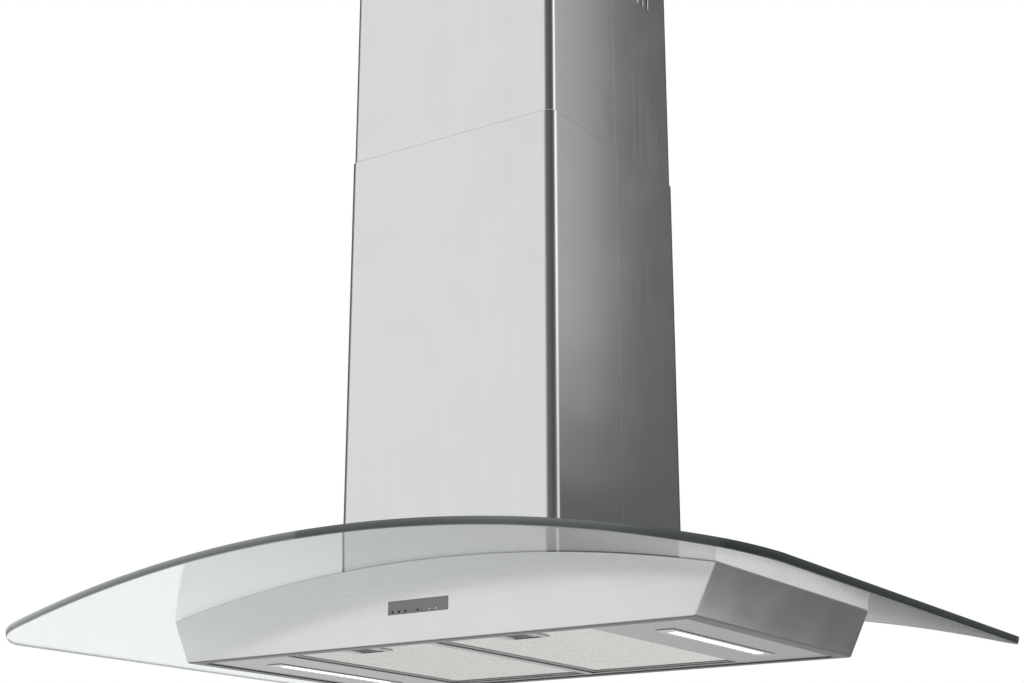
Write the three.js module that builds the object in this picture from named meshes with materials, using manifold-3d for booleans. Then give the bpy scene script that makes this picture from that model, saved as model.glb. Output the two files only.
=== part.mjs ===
// Ceiling-hung (island) range hood with an arched glass canopy.
// Millimetres, +Z up, -Y is the front that carries the keys, +X is the right-hand side.
// Pieces are placed from the lip under the canopy body (z = 0), and the whole hood is then
// lowered so that the origin is the middle of the ceiling face of the ceiling plate.

import * as THREE from 'three';
import { mergeVertices } from 'three/addons/utils/BufferGeometryUtils.js';
import Module from 'manifold-3d';

// ---- overall ----
const HOOD_HEIGHT = 850;            // ceiling down to the lip
const SEAT_GAP = 0.3;               // between pieces that rest on each other
const OVERRUN = 1;                  // that cutters run past what they cut, and joined parts into each other

// ---- facets of round things ----
const HEXAGON = 6;
const SMALL_ROUND = 12;
const MEDIUM_ROUND = 16;
const LARGE_ROUND = 32;
const WIDE_ROUND = 40;
const SMALL_CORNER_FACETS = 3;

// ---- glass canopy ----
const GLASS_WIDTH = 900;
const GLASS_DEPTH = 650;
const GLASS_THICKNESS = 8;
const GLASS_CORNER_RADIUS = 40;
const ARCH_RADIUS = 1570;           // underside of the glass
const ARCH_CROWN = 82;              // underside of the glass above the lip, at the middle
const ARCH_FACETS = 36;             // across the width of the glass
const GLASS_CORNER_FACETS = 8;

// ---- canopy body ----
const BODY_BOTTOM_WIDTH = 614;
const BODY_TOP_WIDTH = 657;
const BODY_DEPTH = 348;
const BODY_SHEET = 1;
const LIP_WIDTH = 12;
const GASKET_THICKNESS = 2;
const GASKET_WIDTH = 12;
const GASKET_INSET = 0.5;           // gasket edge behind the body's faces
const PANEL_MARGIN = 1.5;           // underside panel inside the body's walls
const DECK_WIDTH = 250;
const DECK_SHEET = 2;
const DECK_FLANGE = 20;
const DECK_LEDGE = 7;               // deck that the motor box stands on

// ---- glass screws ----
const GLASS_SCREW_SPACING = 90;     // between the two screws of one side
const GLASS_SCREW_EDGE = 15;        // screw axis from the edge of the glass cut-out
const GLASS_SCREW_DIAMETER = 5;
const GLASS_HOLE_DIAMETER = 8;
const SCREW_WASHER_DIAMETER = 18;
const SCREW_WASHER_THICKNESS = 1.5;
const SCREW_HEAD_DIAMETER = 9;
const SCREW_HEAD_HEIGHT = 4;
const NUT_DIAMETER = 9;
const NUT_HEIGHT = 4;

// ---- telescopic frame ----
const FRAME_WIDTH = 200;            // over the outer angles
const ANGLE_LEG_WIDTH = 22;
const ANGLE_THICKNESS = 1.5;
const ANGLE_SLIDE_GAP = 0.4;        // between outer and inner angles
const OUTER_ANGLE_TOP = 560;
const INNER_ANGLE_BOTTOM = 400;
const CUTOUT_CLEARANCE = 2;         // glass and top plate round the frame
const RAISE_TRAVEL = 160;           // canopy up from where it hangs
const LOWER_TRAVEL = 80;            // canopy down from where it hangs
const FRAME_BOLT_HEIGHT = 500;
const FRAME_BOLT_DIAMETER = 5.4;
const FRAME_BOLT_HEAD = 10;
const FRAME_BOLT_HEAD_HEIGHT = 4;

// ---- chimney covers ----
const CHIMNEY_WIDTH = 272;
const CHIMNEY_DEPTH = 268;
const CHIMNEY_CORNER = 11;
const COVER_CORNER_FACETS = 5;
const COVER_SHEET = 1;
const COVER_SLIDE_GAP = 0.5;        // between lower and upper cover
const LOWER_COVER_TOP = 556;
const UPPER_COVER_BOTTOM = 430;
const COVER_LAP = 12;               // strip behind each seam
const STRIP_MARGIN = 1;             // strip short of what it ends at
const LOWER_LAP_HEIGHT = 130;
const VENTS_PER_HALF_SIDE = 5;
const VENT_PITCH = 11.7;
const VENT_WIDTH = 5;
const VENT_HEIGHT = 50;
const VENT_CORNER = 2.49;
const VENT_DROP = 84;               // ceiling down to the lower ends of the vents
const VENT_FROM_SEAM = 82.5;        // outermost vent

// ---- ceiling plate ----
const CEILING_SHEET = 2;
const CEILING_OPENING = 170;
const CEILING_FLANGE_HEIGHT = 22;
const CEILING_FLANGE_LENGTH = 160;
const CEILING_HOLE_DIAMETER = 7;
const CEILING_HOLE_SPACING = 218;
const COVER_SCREW_OFFSET = 55;      // from the seam
const COVER_SCREW_DROP = 12;        // below the ceiling
const COVER_SCREW_DIAMETER = 4;
const COVER_SCREW_HEAD = 8;
const COVER_SCREW_HEAD_HEIGHT = 2;
const COVER_SCREW_LENGTH = 8;       // under the head

// ---- air path ----
const BOX_SHEET = 1;
const BOX_HEIGHT = 197;
const BOX_CLEARANCE = 1.6;          // inside the inner angles
const SCROLL_WIDTH = 104;
const SCROLL_WALL = 1.5;
const SCROLL_CLEARANCE = 8;         // widest point of the scroll to the box
const SCROLL_RISE = 93;             // impeller axis above the deck
const SCROLL_MOUTH = 110;
const SCROLL_NECK = 33;             // tongue of the scroll from the middle
const SCROLL_START = 115;           // degrees, where the spiral is closest to the wheel
const SCROLL_END = 360;
const SCROLL_STEPS = 18;
const IMPELLER_DIAMETER = 116;
const IMPELLER_LENGTH = 88;
const IMPELLER_TIP_CLEARANCE = 4;
const IMPELLER_BLADES = 20;
const BLADE_THICKNESS = 1.6;
const BLADE_DEPTH = 12;             // wheel's rim in from its edge
const BLADE_WIDTH = 10;
const BLADE_INSET = 6.5;            // middle of a blade in from the wheel's edge
const BLADE_TILT = 35;
const IMPELLER_PLATE = 2;           // its disc and its ring
const INLET_DIAMETER = 92;
const SHAFT_DIAMETER = 8;
const SHAFT_CLEARANCE = 0.3;
const SHAFT_HOLE_DIAMETER = 10;     // in the scroll
const HUB_DIAMETER = 22;
const MOTOR_DIAMETER = 84;
const MOTOR_LENGTH = 32;
const MOTOR_FLANGE_DIAMETER = 96;
const MOTOR_FLANGE_THICKNESS = 2;
const DUCT_DIAMETER = 150;
const COLLAR_HEIGHT = 64;
const COLLAR_FLANGE_WIDTH = 12;
const COLLAR_FLANGE_THICKNESS = 1.2;
const COLLAR_SHEET = 1;
const DAMPER_RISE = 30;             // damper rod above the motor box
const DAMPER_ROD_DIAMETER = 3;
const DAMPER_SHEET = 0.8;
const DAMPER_EDGE_CLEARANCE = 1;
const DAMPER_BARREL_WALL = 1;

// ---- grease filters ----
const FILTER_WIDTH = 180;
const FILTER_DEPTH = 304;
const FILTER_THICKNESS = 9;
const FILTER_BORDER = 10;
const FILTER_CLEARANCE = 1;         // round each filter in its opening
const FILTER_SKIN = 1.2;
const FILTER_DIVIDER = 9.4;         // bar between the two openings
const TAB_THICKNESS = 1.5;
const TAB_REACH = 7;
const TAB_WIDTH = 20;
const TAB_SPACING = 120;
const LATCH_WIDTH = 30;
const LATCH_TRAVEL = 7;
const LATCH_CUP_WIDTH = 46;
const LATCH_CUP_DEPTH = 34;
const LATCH_REACH = 6;              // tongue past the front of the filter
const LATCH_STEM_START = 3;         // stem behind the front of the filter
const LATCH_GRIP_HEIGHT = 4;        // above the tongue

// ---- lamps ----
const LENS_WIDTH = 13;
const LENS_LENGTH = 192;
const LENS_THICKNESS = 3;
const BEZEL_WIDTH = 20;
const BEZEL_LENGTH = 220;
const BEZEL_THICKNESS = 0.7;
const LAMP_DEPTH = 13;
const LAMP_WALL = 1.2;

// ---- control panel ----
const CONTROL_WIDTH = 73.5;
const CONTROL_HEIGHT = 13;
const CONTROL_RISE = 36;            // middle of the panel above the lip
const CONTROL_PROUD = 0.4;
const CONTROL_FLANGE = 3;
const CONTROL_FLANGE_SHEET = 1;
const CONTROL_POST_DIAMETER = 2.4;
const KEY_DIAMETER = 2.2;
const KEY_COLLAR_DIAMETER = 4;
const KEY_COLLAR_THICKNESS = 0.8;
const KEY_PROUD = 0.4;
const KEY_TRAVEL = 0.5;
const KEY_DROP = 4.2;               // key row below the middle of the panel
const KEY_PLACES = [-31, -23, -15, 0, 14.5, 22.5];
const DARK_KEYS = 4;                // from the left; the others are pale
const BOARD_SHEET = 1.6;

// ---- electrics under the deck ----
const TERMINAL_BOX_SIZE = [64, 56, 28];
const LED_DRIVER_SIZE = [64, 40, 20];
const ELECTRICS_CLEARANCE = 3;      // beside the nuts of the glass screws
const GLAND_DIAMETER = 18;
const GLAND_BORE = 8;
const GLAND_LENGTH = 18;
const GLAND_NUT_LENGTH = 6;
const GLAND_NECK_DIAMETER = 14;

// ---- worked out from the above ----
const wasm = await Module();
wasm.setup();

const archCentre = ARCH_CROWN - ARCH_RADIUS;
const glassTopRadius = ARCH_RADIUS + GLASS_THICKNESS;
const gasketTopRadius = ARCH_RADIUS - SEAT_GAP;
const gasketBottomRadius = gasketTopRadius - GASKET_THICKNESS;
const wallTopRadius = gasketBottomRadius - SEAT_GAP;
const topPlateUnderRadius = wallTopRadius - BODY_SHEET;

const bodyFront = BODY_DEPTH / 2;
const bodySlope = (BODY_TOP_WIDTH - BODY_BOTTOM_WIDTH) / 2 / archHeight(wallTopRadius, BODY_TOP_WIDTH / 2);
const slopedSheet = BODY_SHEET * Math.hypot(1, bodySlope);
const lipInnerX = BODY_BOTTOM_WIDTH / 2 - LIP_WIDTH;
const lipInnerY = bodyFront - LIP_WIDTH;
const panelBottom = BODY_SHEET + SEAT_GAP;
const panelTop = panelBottom + BODY_SHEET;

const outerAngle = FRAME_WIDTH / 2;
const innerAngle = outerAngle - ANGLE_THICKNESS - ANGLE_SLIDE_GAP;
const boxHalf = innerAngle - ANGLE_THICKNESS - BOX_CLEARANCE;
const cutoutHalf = outerAngle + CUTOUT_CLEARANCE;
const deckOpeningHalf = boxHalf - DECK_LEDGE;
const deckTop = archHeight(topPlateUnderRadius, DECK_WIDTH / 2) - SEAT_GAP;
const deckBottom = deckTop - DECK_SHEET;
const deckFront = bodyFront - BODY_SHEET - SEAT_GAP;
const glassScrewY = cutoutHalf + GLASS_SCREW_EDGE;

const upperCoverWidth = CHIMNEY_WIDTH - 2 * (COVER_SHEET + COVER_SLIDE_GAP);
const upperCoverDepth = CHIMNEY_DEPTH - 2 * (COVER_SHEET + COVER_SLIDE_GAP);
const upperCoverTop = HOOD_HEIGHT - CEILING_SHEET - SEAT_GAP;
const ceilingUnder = HOOD_HEIGHT - CEILING_SHEET;
const ceilingFlangeX = upperCoverWidth / 2 - COVER_SHEET - SEAT_GAP;
const coverScrewHeight = ceilingUnder - COVER_SCREW_DROP;

const boxBottom = deckTop + SEAT_GAP;
const boxTop = boxBottom + BOX_HEIGHT;
const impellerAxis = deckTop + SCROLL_RISE;
const scrollHalf = SCROLL_WIDTH / 2;
const scrollMax = boxHalf - BOX_SHEET - SCROLL_CLEARANCE;
const scrollMin = IMPELLER_DIAMETER / 2 + IMPELLER_TIP_CLEARANCE;
const scrollTop = boxTop - BOX_SHEET - SEAT_GAP;
const collarOuter = DUCT_DIAMETER / 2;
const collarInner = collarOuter - COLLAR_SHEET;
const collarBottom = boxTop + SEAT_GAP;
const damperAxis = boxTop + DAMPER_RISE;

const filterBottom = panelTop + SEAT_GAP;
const filterTop = filterBottom + FILTER_THICKNESS;
const openingWidth = FILTER_WIDTH + 2 * FILTER_CLEARANCE;
const openingHalfDepth = FILTER_DEPTH / 2 + FILTER_CLEARANCE;
const filterX = (FILTER_DIVIDER + openingWidth) / 2;
const openingOuter = filterX + openingWidth / 2;
const lampX = (openingOuter + lipInnerX) / 2;

const controlFace = -bodyFront - CONTROL_PROUD;
const controlFlangeFront = -bodyFront + BODY_SHEET + SEAT_GAP;
const controlFlangeBack = controlFlangeFront + CONTROL_FLANGE_SHEET;
const keyCollarFront = controlFlangeBack + SEAT_GAP;
const keyBack = keyCollarFront + KEY_COLLAR_THICKNESS;
const boardFront = keyBack + KEY_TRAVEL + SEAT_GAP;

// Height of an arch of the given radius, concentric with the glass, at x.
function archHeight(radius, x) {
  return archCentre + Math.sqrt(radius * radius - x * x);
}

// ---- solids ----
// A closed geometry as a solid for cutting and joining.
function solidOf(geometry) {
  geometry.deleteAttribute('normal');
  geometry.deleteAttribute('uv');
  const merged = mergeVertices(geometry, 1e-4);
  return new wasm.Manifold(new wasm.Mesh({
    numProp: 3,
    vertProperties: new Float32Array(merged.attributes.position.array),
    triVerts: new Uint32Array(merged.index.array),
  }));
}

function geometryOf(solid) {
  const mesh = solid.getMesh();
  const geometry = new THREE.BufferGeometry();
  geometry.setAttribute('position', new THREE.BufferAttribute(mesh.vertProperties, 3));
  geometry.setIndex(new THREE.BufferAttribute(mesh.triVerts, 1));
  geometry.computeVertexNormals();
  return geometry;
}

function join(first, ...others) {
  return others.reduce((sum, other) => sum.add(other), first);
}

function cut(solid, ...tools) {
  return tools.reduce((rest, tool) => rest.subtract(tool), solid);
}

// Prism of an outline. The outline lies in XY for axis z, in XZ for axis y and in YZ for axis x.
function prism(outline, axis, from, to) {
  const geometry = new THREE.ExtrudeGeometry(new THREE.Shape(outline), {
    depth: to - from,
    bevelEnabled: false,
  });
  const [x, y, z] = [new THREE.Vector3(1, 0, 0), new THREE.Vector3(0, 1, 0), new THREE.Vector3(0, 0, 1)];
  const place = new THREE.Matrix4();
  if (axis === 'x') {
    place.makeBasis(y, z, x).setPosition(from, 0, 0);
  } else if (axis === 'y') {
    place.makeBasis(x, z, y.clone().negate()).setPosition(0, to, 0);
  } else {
    place.makeBasis(x, y, z).setPosition(0, 0, from);
  }
  return solidOf(geometry.applyMatrix4(place));
}

// Box between two corners, whichever way round they are given.
function box(xa, xb, ya, yb, za, zb) {
  const size = [Math.abs(xb - xa), Math.abs(yb - ya), Math.abs(zb - za)];
  const geometry = new THREE.BoxGeometry(...size);
  geometry.translate((xa + xb) / 2, (ya + yb) / 2, (za + zb) / 2);
  return solidOf(geometry);
}

// Box centred on x = 0 and y = 0.
function centredBox(halfX, halfY, from, to) {
  return box(-halfX, halfX, -halfY, halfY, from, to);
}

function circle(centreU, centreV, radius, sides) {
  return Array.from({ length: sides }, (_, i) => {
    const angle = (2 * Math.PI * (i + 0.5)) / sides;
    return new THREE.Vector2(centreU + radius * Math.cos(angle), centreV + radius * Math.sin(angle));
  });
}

// Round bar along an axis; u and v place it across that axis, in the order of the prism's outline.
function rod(axis, radius, from, to, u, v, sides = MEDIUM_ROUND) {
  return prism(circle(u, v, radius, sides), axis, from, to);
}

function roundedRectangle(width, depth, radius, steps) {
  const points = [];
  const corners = [[1, 1, 0], [-1, 1, 0.5], [-1, -1, 1], [1, -1, 1.5]];
  for (const [sideX, sideY, turn] of corners) {
    for (let i = 0; i <= steps; i += 1) {
      const angle = Math.PI * (turn + (0.5 * i) / steps);
      points.push(new THREE.Vector2(
        sideX * (width / 2 - radius) + radius * Math.cos(angle),
        sideY * (depth / 2 - radius) + radius * Math.sin(angle),
      ));
    }
  }
  return points;
}

// Points along an arch concentric with the glass, from left to right.
function archPoints(radius) {
  const reach = Math.asin((GLASS_WIDTH / 2 + OVERRUN) / ARCH_RADIUS);
  return Array.from({ length: ARCH_FACETS + 1 }, (_, i) => {
    const angle = reach * ((2 * i) / ARCH_FACETS - 1);
    return new THREE.Vector2(radius * Math.sin(angle), archCentre + radius * Math.cos(angle));
  });
}

// Everything between two concentric arches, as deep as the glass.
function archBand(lowRadius, highRadius) {
  const outline = [...archPoints(lowRadius), ...archPoints(highRadius).reverse()];
  return prism(outline, 'y', -GLASS_DEPTH / 2 - OVERRUN, GLASS_DEPTH / 2 + OVERRUN);
}

// Everything under an arch, down past the lip.
function underArch(radius) {
  const points = archPoints(radius);
  const bottom = -LIP_WIDTH;
  const left = new THREE.Vector2(points[0].x, bottom);
  const right = new THREE.Vector2(points[points.length - 1].x, bottom);
  return prism([left, right, ...points.reverse()], 'y', -GLASS_DEPTH / 2, GLASS_DEPTH / 2);
}

// The body's tapered inside or outside, shrunk by an inset that is measured level.
function taperedBlock(insetX, insetY, from, to) {
  const halfAt = (height) => BODY_BOTTOM_WIDTH / 2 + bodySlope * height - insetX;
  const outline = [
    new THREE.Vector2(-halfAt(from), from),
    new THREE.Vector2(halfAt(from), from),
    new THREE.Vector2(halfAt(to), to),
    new THREE.Vector2(-halfAt(to), to),
  ];
  return prism(outline, 'y', -bodyFront + insetY, bodyFront - insetY);
}

function glassScrewPlaces() {
  const x = GLASS_SCREW_SPACING / 2;
  return [[-x, -glassScrewY], [x, -glassScrewY], [-x, glassScrewY], [x, glassScrewY]];
}

function glassScrewHoles(diameter) {
  return glassScrewPlaces().map(([x, y]) => rod('z', diameter / 2, 0, HOOD_HEIGHT, x, y, SMALL_ROUND));
}

// ---- materials ----
function material(color, roughness, metalness) {
  return new THREE.MeshStandardMaterial({ color, roughness, metalness });
}

const MATERIALS = {
  steel: () => material(0xd3d4d2, 0.34, 0.9),
  zinc: () => material(0xb9bdbe, 0.5, 0.8),
  glass: () => material(0xdfe8e5, 0.05, 0),
  rubber: () => material(0x26282a, 0.8, 0),
  panel: () => material(0xacacac, 0.45, 0.6),
  mesh: () => material(0xc9c9c4, 0.45, 0.7),
  lens: () => material(0xfafafa, 0.3, 0),
  fascia: () => material(0x7c7f7e, 0.4, 0.3),
  darkKey: () => material(0x202224, 0.4, 0),
  paleKey: () => material(0xf2f3f2, 0.4, 0),
  board: () => material(0x2c5a3c, 0.6, 0),
  blackPlastic: () => material(0x2b2d2f, 0.55, 0),
  whitePlastic: () => material(0xe4e4e0, 0.5, 0),
  bolt: () => material(0xa8abad, 0.35, 0.9),
};

function piece(name, solid, look) {
  const mesh = new THREE.Mesh(geometryOf(solid), MATERIALS[look]());
  mesh.name = name;
  return mesh;
}

// ---- canopy body and glass ----
function canopyShell() {
  const outside = taperedBlock(0, 0, 0, ARCH_CROWN).intersect(underArch(wallTopRadius));
  const inside = taperedBlock(slopedSheet, BODY_SHEET, BODY_SHEET, ARCH_CROWN + OVERRUN);
  const window = centredBox(lipInnerX, lipInnerY, -OVERRUN, BODY_SHEET + OVERRUN);
  const halfWidth = CONTROL_WIDTH / 2 + SEAT_GAP;
  const halfHeight = CONTROL_HEIGHT / 2 + SEAT_GAP;
  const controlHole = box(
    -halfWidth, halfWidth,
    -bodyFront - OVERRUN, -bodyFront + BODY_SHEET + OVERRUN,
    CONTROL_RISE - halfHeight, CONTROL_RISE + halfHeight,
  );
  return piece('canopy_shell', cut(outside, inside, window, controlHole), 'steel');
}

function topPlate() {
  const band = archBand(topPlateUnderRadius, wallTopRadius);
  const inset = BODY_SHEET + SEAT_GAP;
  const blank = band.intersect(taperedBlock(slopedSheet + SEAT_GAP, inset, 0, ARCH_CROWN + OVERRUN));
  const opening = centredBox(cutoutHalf, cutoutHalf, 0, HOOD_HEIGHT);
  return piece('top_plate', cut(blank, opening, ...glassScrewHoles(GLASS_HOLE_DIAMETER)), 'zinc');
}

function glassGasket() {
  const halfX = BODY_TOP_WIDTH / 2 - GASKET_INSET;
  const halfY = bodyFront - GASKET_INSET;
  const outside = centredBox(halfX, halfY, 0, HOOD_HEIGHT);
  const inside = centredBox(halfX - GASKET_WIDTH, halfY - GASKET_WIDTH, -OVERRUN, HOOD_HEIGHT + OVERRUN);
  const band = archBand(gasketBottomRadius, gasketTopRadius);
  return piece('glass_gasket', band.intersect(cut(outside, inside)), 'rubber');
}

function glassCanopy() {
  const outline = roundedRectangle(GLASS_WIDTH, GLASS_DEPTH, GLASS_CORNER_RADIUS, GLASS_CORNER_FACETS);
  const blank = archBand(ARCH_RADIUS, glassTopRadius).intersect(prism(outline, 'z', -HOOD_HEIGHT, HOOD_HEIGHT));
  const opening = centredBox(cutoutHalf, cutoutHalf, 0, HOOD_HEIGHT);
  return piece('glass_canopy', cut(blank, opening, ...glassScrewHoles(GLASS_HOLE_DIAMETER)), 'glass');
}

function glassScrews() {
  const washerReach = GLASS_SCREW_SPACING / 2 - SCREW_WASHER_DIAMETER / 2;
  const washerBottom = archHeight(glassTopRadius, washerReach) + SEAT_GAP;
  const headBottom = washerBottom + SCREW_WASHER_THICKNESS;
  const nutTop = deckBottom - SEAT_GAP;
  const nutBottom = nutTop - NUT_HEIGHT;
  const names = ['front_left', 'front_right', 'rear_left', 'rear_right'];
  return glassScrewPlaces().map(([x, y], i) => {
    const shank = rod('z', GLASS_SCREW_DIAMETER / 2, nutBottom, headBottom + OVERRUN, 0, 0, SMALL_ROUND);
    const washer = rod('z', SCREW_WASHER_DIAMETER / 2, washerBottom, headBottom, 0, 0, MEDIUM_ROUND);
    const head = rod('z', SCREW_HEAD_DIAMETER / 2, washerBottom, headBottom + SCREW_HEAD_HEIGHT, 0, 0);
    const nut = rod('z', NUT_DIAMETER / 2, nutBottom, nutTop, 0, 0, HEXAGON);
    const screw = piece(`glass_screw_${names[i]}`, join(shank, washer, head, nut), 'bolt');
    screw.position.set(x, y, 0);
    return screw;
  });
}

function deckPlate() {
  const sheet = centredBox(DECK_WIDTH / 2, deckFront, deckBottom, deckTop);
  const flanges = [-1, 1].map((side) => box(
    -DECK_WIDTH / 2, DECK_WIDTH / 2,
    side * (deckFront - DECK_SHEET), side * deckFront,
    deckTop - DECK_FLANGE, deckTop,
  ));
  const opening = centredBox(deckOpeningHalf, deckOpeningHalf, 0, HOOD_HEIGHT);
  const solid = cut(join(sheet, ...flanges), opening, ...glassScrewHoles(GLASS_SCREW_DIAMETER + 2 * SEAT_GAP));
  return piece('deck_plate', solid, 'zinc');
}

function undersidePanel() {
  const halfX = BODY_BOTTOM_WIDTH / 2 - PANEL_MARGIN;
  const halfY = bodyFront - PANEL_MARGIN;
  const sheet = centredBox(halfX, halfY, panelBottom, panelTop);
  const cuts = [-1, 1].flatMap((side) => [
    box(
      side * (filterX - openingWidth / 2), side * openingOuter,
      -openingHalfDepth, openingHalfDepth, 0, panelTop + OVERRUN,
    ),
    box(
      side * lampX - lampBodyHalfWidth() - SEAT_GAP, side * lampX + lampBodyHalfWidth() + SEAT_GAP,
      -lampBodyHalfLength() - SEAT_GAP, lampBodyHalfLength() + SEAT_GAP, 0, panelTop + OVERRUN,
    ),
  ]);
  return piece('underside_panel', cut(sheet, ...cuts), 'panel');
}

// ---- telescopic frame ----
// Steel angle at one corner of the frame.
function angle(sideX, sideY, corner, from, to) {
  const inner = corner - ANGLE_LEG_WIDTH;
  const skin = corner - ANGLE_THICKNESS;
  return join(
    box(sideX * inner, sideX * corner, sideY * skin, sideY * corner, from, to),
    box(sideX * skin, sideX * corner, sideY * inner, sideY * corner, from, to),
  );
}

// Square head folded into the top of an inner angle, against the ceiling plate.
function angleHead(sideX, sideY, top) {
  const inner = innerAngle - ANGLE_LEG_WIDTH;
  return box(
    sideX * inner, sideX * innerAngle, sideY * inner, sideY * innerAngle, top - ANGLE_THICKNESS, top,
  );
}

function frameAngles() {
  const meshes = { canopy: [], ceiling: [] };
  const boltLine = outerAngle - ANGLE_LEG_WIDTH / 2;
  const slotBottom = FRAME_BOLT_HEIGHT - LOWER_TRAVEL;
  const slotTop = FRAME_BOLT_HEIGHT + RAISE_TRAVEL;
  const holeRadius = FRAME_BOLT_DIAMETER / 2 + SEAT_GAP;
  const innerTop = ceilingUnder - SEAT_GAP;
  const inside = innerAngle - ANGLE_THICKNESS - OVERRUN;
  const outside = outerAngle + OVERRUN;
  for (const [sideY, end] of [[-1, 'front'], [1, 'rear']]) {
    for (const [sideX, hand] of [[-1, 'left'], [1, 'right']]) {
      const y = sideY * boltLine;
      const across = [sideX * inside, sideX * outside].sort((a, b) => a - b);
      const hole = rod('x', holeRadius, ...across, y, FRAME_BOLT_HEIGHT, SMALL_ROUND);
      const slot = join(
        rod('x', holeRadius, ...across, y, slotBottom, SMALL_ROUND),
        rod('x', holeRadius, ...across, y, slotTop, SMALL_ROUND),
        box(across[0], across[1], y - holeRadius, y + holeRadius, slotBottom, slotTop),
      );
      const outer = cut(angle(sideX, sideY, outerAngle, boxBottom, OUTER_ANGLE_TOP), hole);
      const inner = cut(angle(sideX, sideY, innerAngle, INNER_ANGLE_BOTTOM, innerTop), slot);
      meshes.canopy.push(piece(`lower_angle_${end}_${hand}`, outer, 'zinc'));
      const headed = join(inner, angleHead(sideX, sideY, innerTop));
      meshes.ceiling.push(piece(`upper_angle_${end}_${hand}`, headed, 'zinc'));
      meshes.canopy.push(frameBolt(`frame_bolt_${end}_${hand}`, sideX, y));
    }
  }
  return meshes;
}

// Clamping bolt with its nut, through an outer angle and the slot of the inner one.
function frameBolt(name, side, y) {
  const headInner = outerAngle + SEAT_GAP;
  const headOuter = headInner + FRAME_BOLT_HEAD_HEIGHT;
  const nutOuter = innerAngle - ANGLE_THICKNESS - SEAT_GAP;
  const nutInner = nutOuter - NUT_HEIGHT;
  const span = (a, b) => [side * a, side * b].sort((p, q) => p - q);
  const solid = join(
    rod('x', FRAME_BOLT_HEAD / 2, ...span(headInner, headOuter), y, FRAME_BOLT_HEIGHT, SMALL_ROUND),
    rod('x', FRAME_BOLT_DIAMETER / 2, ...span(nutInner, headOuter), y, FRAME_BOLT_HEIGHT, SMALL_ROUND),
    rod('x', FRAME_BOLT_HEAD / 2, ...span(nutInner, nutOuter), y, FRAME_BOLT_HEIGHT, HEXAGON),
  );
  return piece(name, solid, 'bolt');
}

// ---- chimney covers ----
// Square tube of sheet with rounded corners.
function coverTube(width, depth, radius, from, to) {
  const inside = 2 * COVER_SHEET;
  return cut(
    prism(roundedRectangle(width, depth, radius, COVER_CORNER_FACETS), 'z', from, to),
    prism(
      roundedRectangle(width - inside, depth - inside, radius - COVER_SHEET, COVER_CORNER_FACETS),
      'z', from - OVERRUN, to + OVERRUN,
    ),
  );
}

// Front or rear half of a cover tube; the halves meet in the middle of each side.
function coverHalf(tube, side, width, depth) {
  const edge = side * (SEAT_GAP / 2);
  return tube.intersect(box(-width, width, edge, side * depth, 0, HOOD_HEIGHT));
}

// Strips on the rear half that lap behind the edges of the front half.
function seamStrips(width, from, to) {
  const wall = width / 2 - COVER_SHEET;
  return [-1, 1].map((side) => join(
    box(
      side * (wall - SEAT_GAP - COVER_SHEET), side * (wall - SEAT_GAP),
      -COVER_LAP, COVER_LAP, from, to,
    ),
    box(
      side * (wall - SEAT_GAP - COVER_SHEET / 2), side * (wall + COVER_SHEET / 2),
      SEAT_GAP, COVER_LAP, from, to,
    ),
  ));
}

function lowerCovers() {
  const radius = CHIMNEY_CORNER;
  const foot = glassTopRadius + SEAT_GAP;
  const tube = cut(coverTube(CHIMNEY_WIDTH, CHIMNEY_DEPTH, radius, 0, LOWER_COVER_TOP), underArch(foot));
  const stripBottom = archHeight(foot, CHIMNEY_WIDTH / 2 - COVER_SHEET - SEAT_GAP - COVER_SHEET) + STRIP_MARGIN;
  const strips = seamStrips(CHIMNEY_WIDTH, stripBottom, stripBottom + LOWER_LAP_HEIGHT);
  const front = coverHalf(tube, -1, CHIMNEY_WIDTH, CHIMNEY_DEPTH);
  const rear = coverHalf(tube, 1, CHIMNEY_WIDTH, CHIMNEY_DEPTH);
  return [
    piece('lower_cover_front', front, 'steel'),
    piece('lower_cover_rear', join(rear, ...strips), 'steel'),
  ];
}

// Upright slots with round ends, through both sides of the upper cover.
function ventSlots() {
  const slots = [];
  const across = [-CHIMNEY_WIDTH, CHIMNEY_WIDTH];
  const ventMiddle = HOOD_HEIGHT - VENT_DROP + VENT_HEIGHT / 2;
  for (const side of [-1, 1]) {
    for (let i = 0; i < VENTS_PER_HALF_SIDE; i += 1) {
      const y = side * (VENT_FROM_SEAM - i * VENT_PITCH);
      const outline = roundedRectangle(VENT_WIDTH, VENT_HEIGHT, VENT_CORNER, SMALL_CORNER_FACETS)
        .map((point) => new THREE.Vector2(point.x + y, point.y + ventMiddle));
      slots.push(prism(outline, 'x', ...across));
    }
  }
  return slots;
}

function coverScrewPlaces() {
  return [
    ['front_left', -1, -COVER_SCREW_OFFSET],
    ['front_right', 1, -COVER_SCREW_OFFSET],
    ['rear_left', -1, COVER_SCREW_OFFSET],
    ['rear_right', 1, COVER_SCREW_OFFSET],
  ];
}

function coverScrewHoles() {
  const radius = COVER_SCREW_DIAMETER / 2 + SEAT_GAP;
  return [-1, 1].map((side) => rod(
    'x', radius, -CHIMNEY_WIDTH, CHIMNEY_WIDTH, side * COVER_SCREW_OFFSET, coverScrewHeight, SMALL_ROUND,
  ));
}

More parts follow.
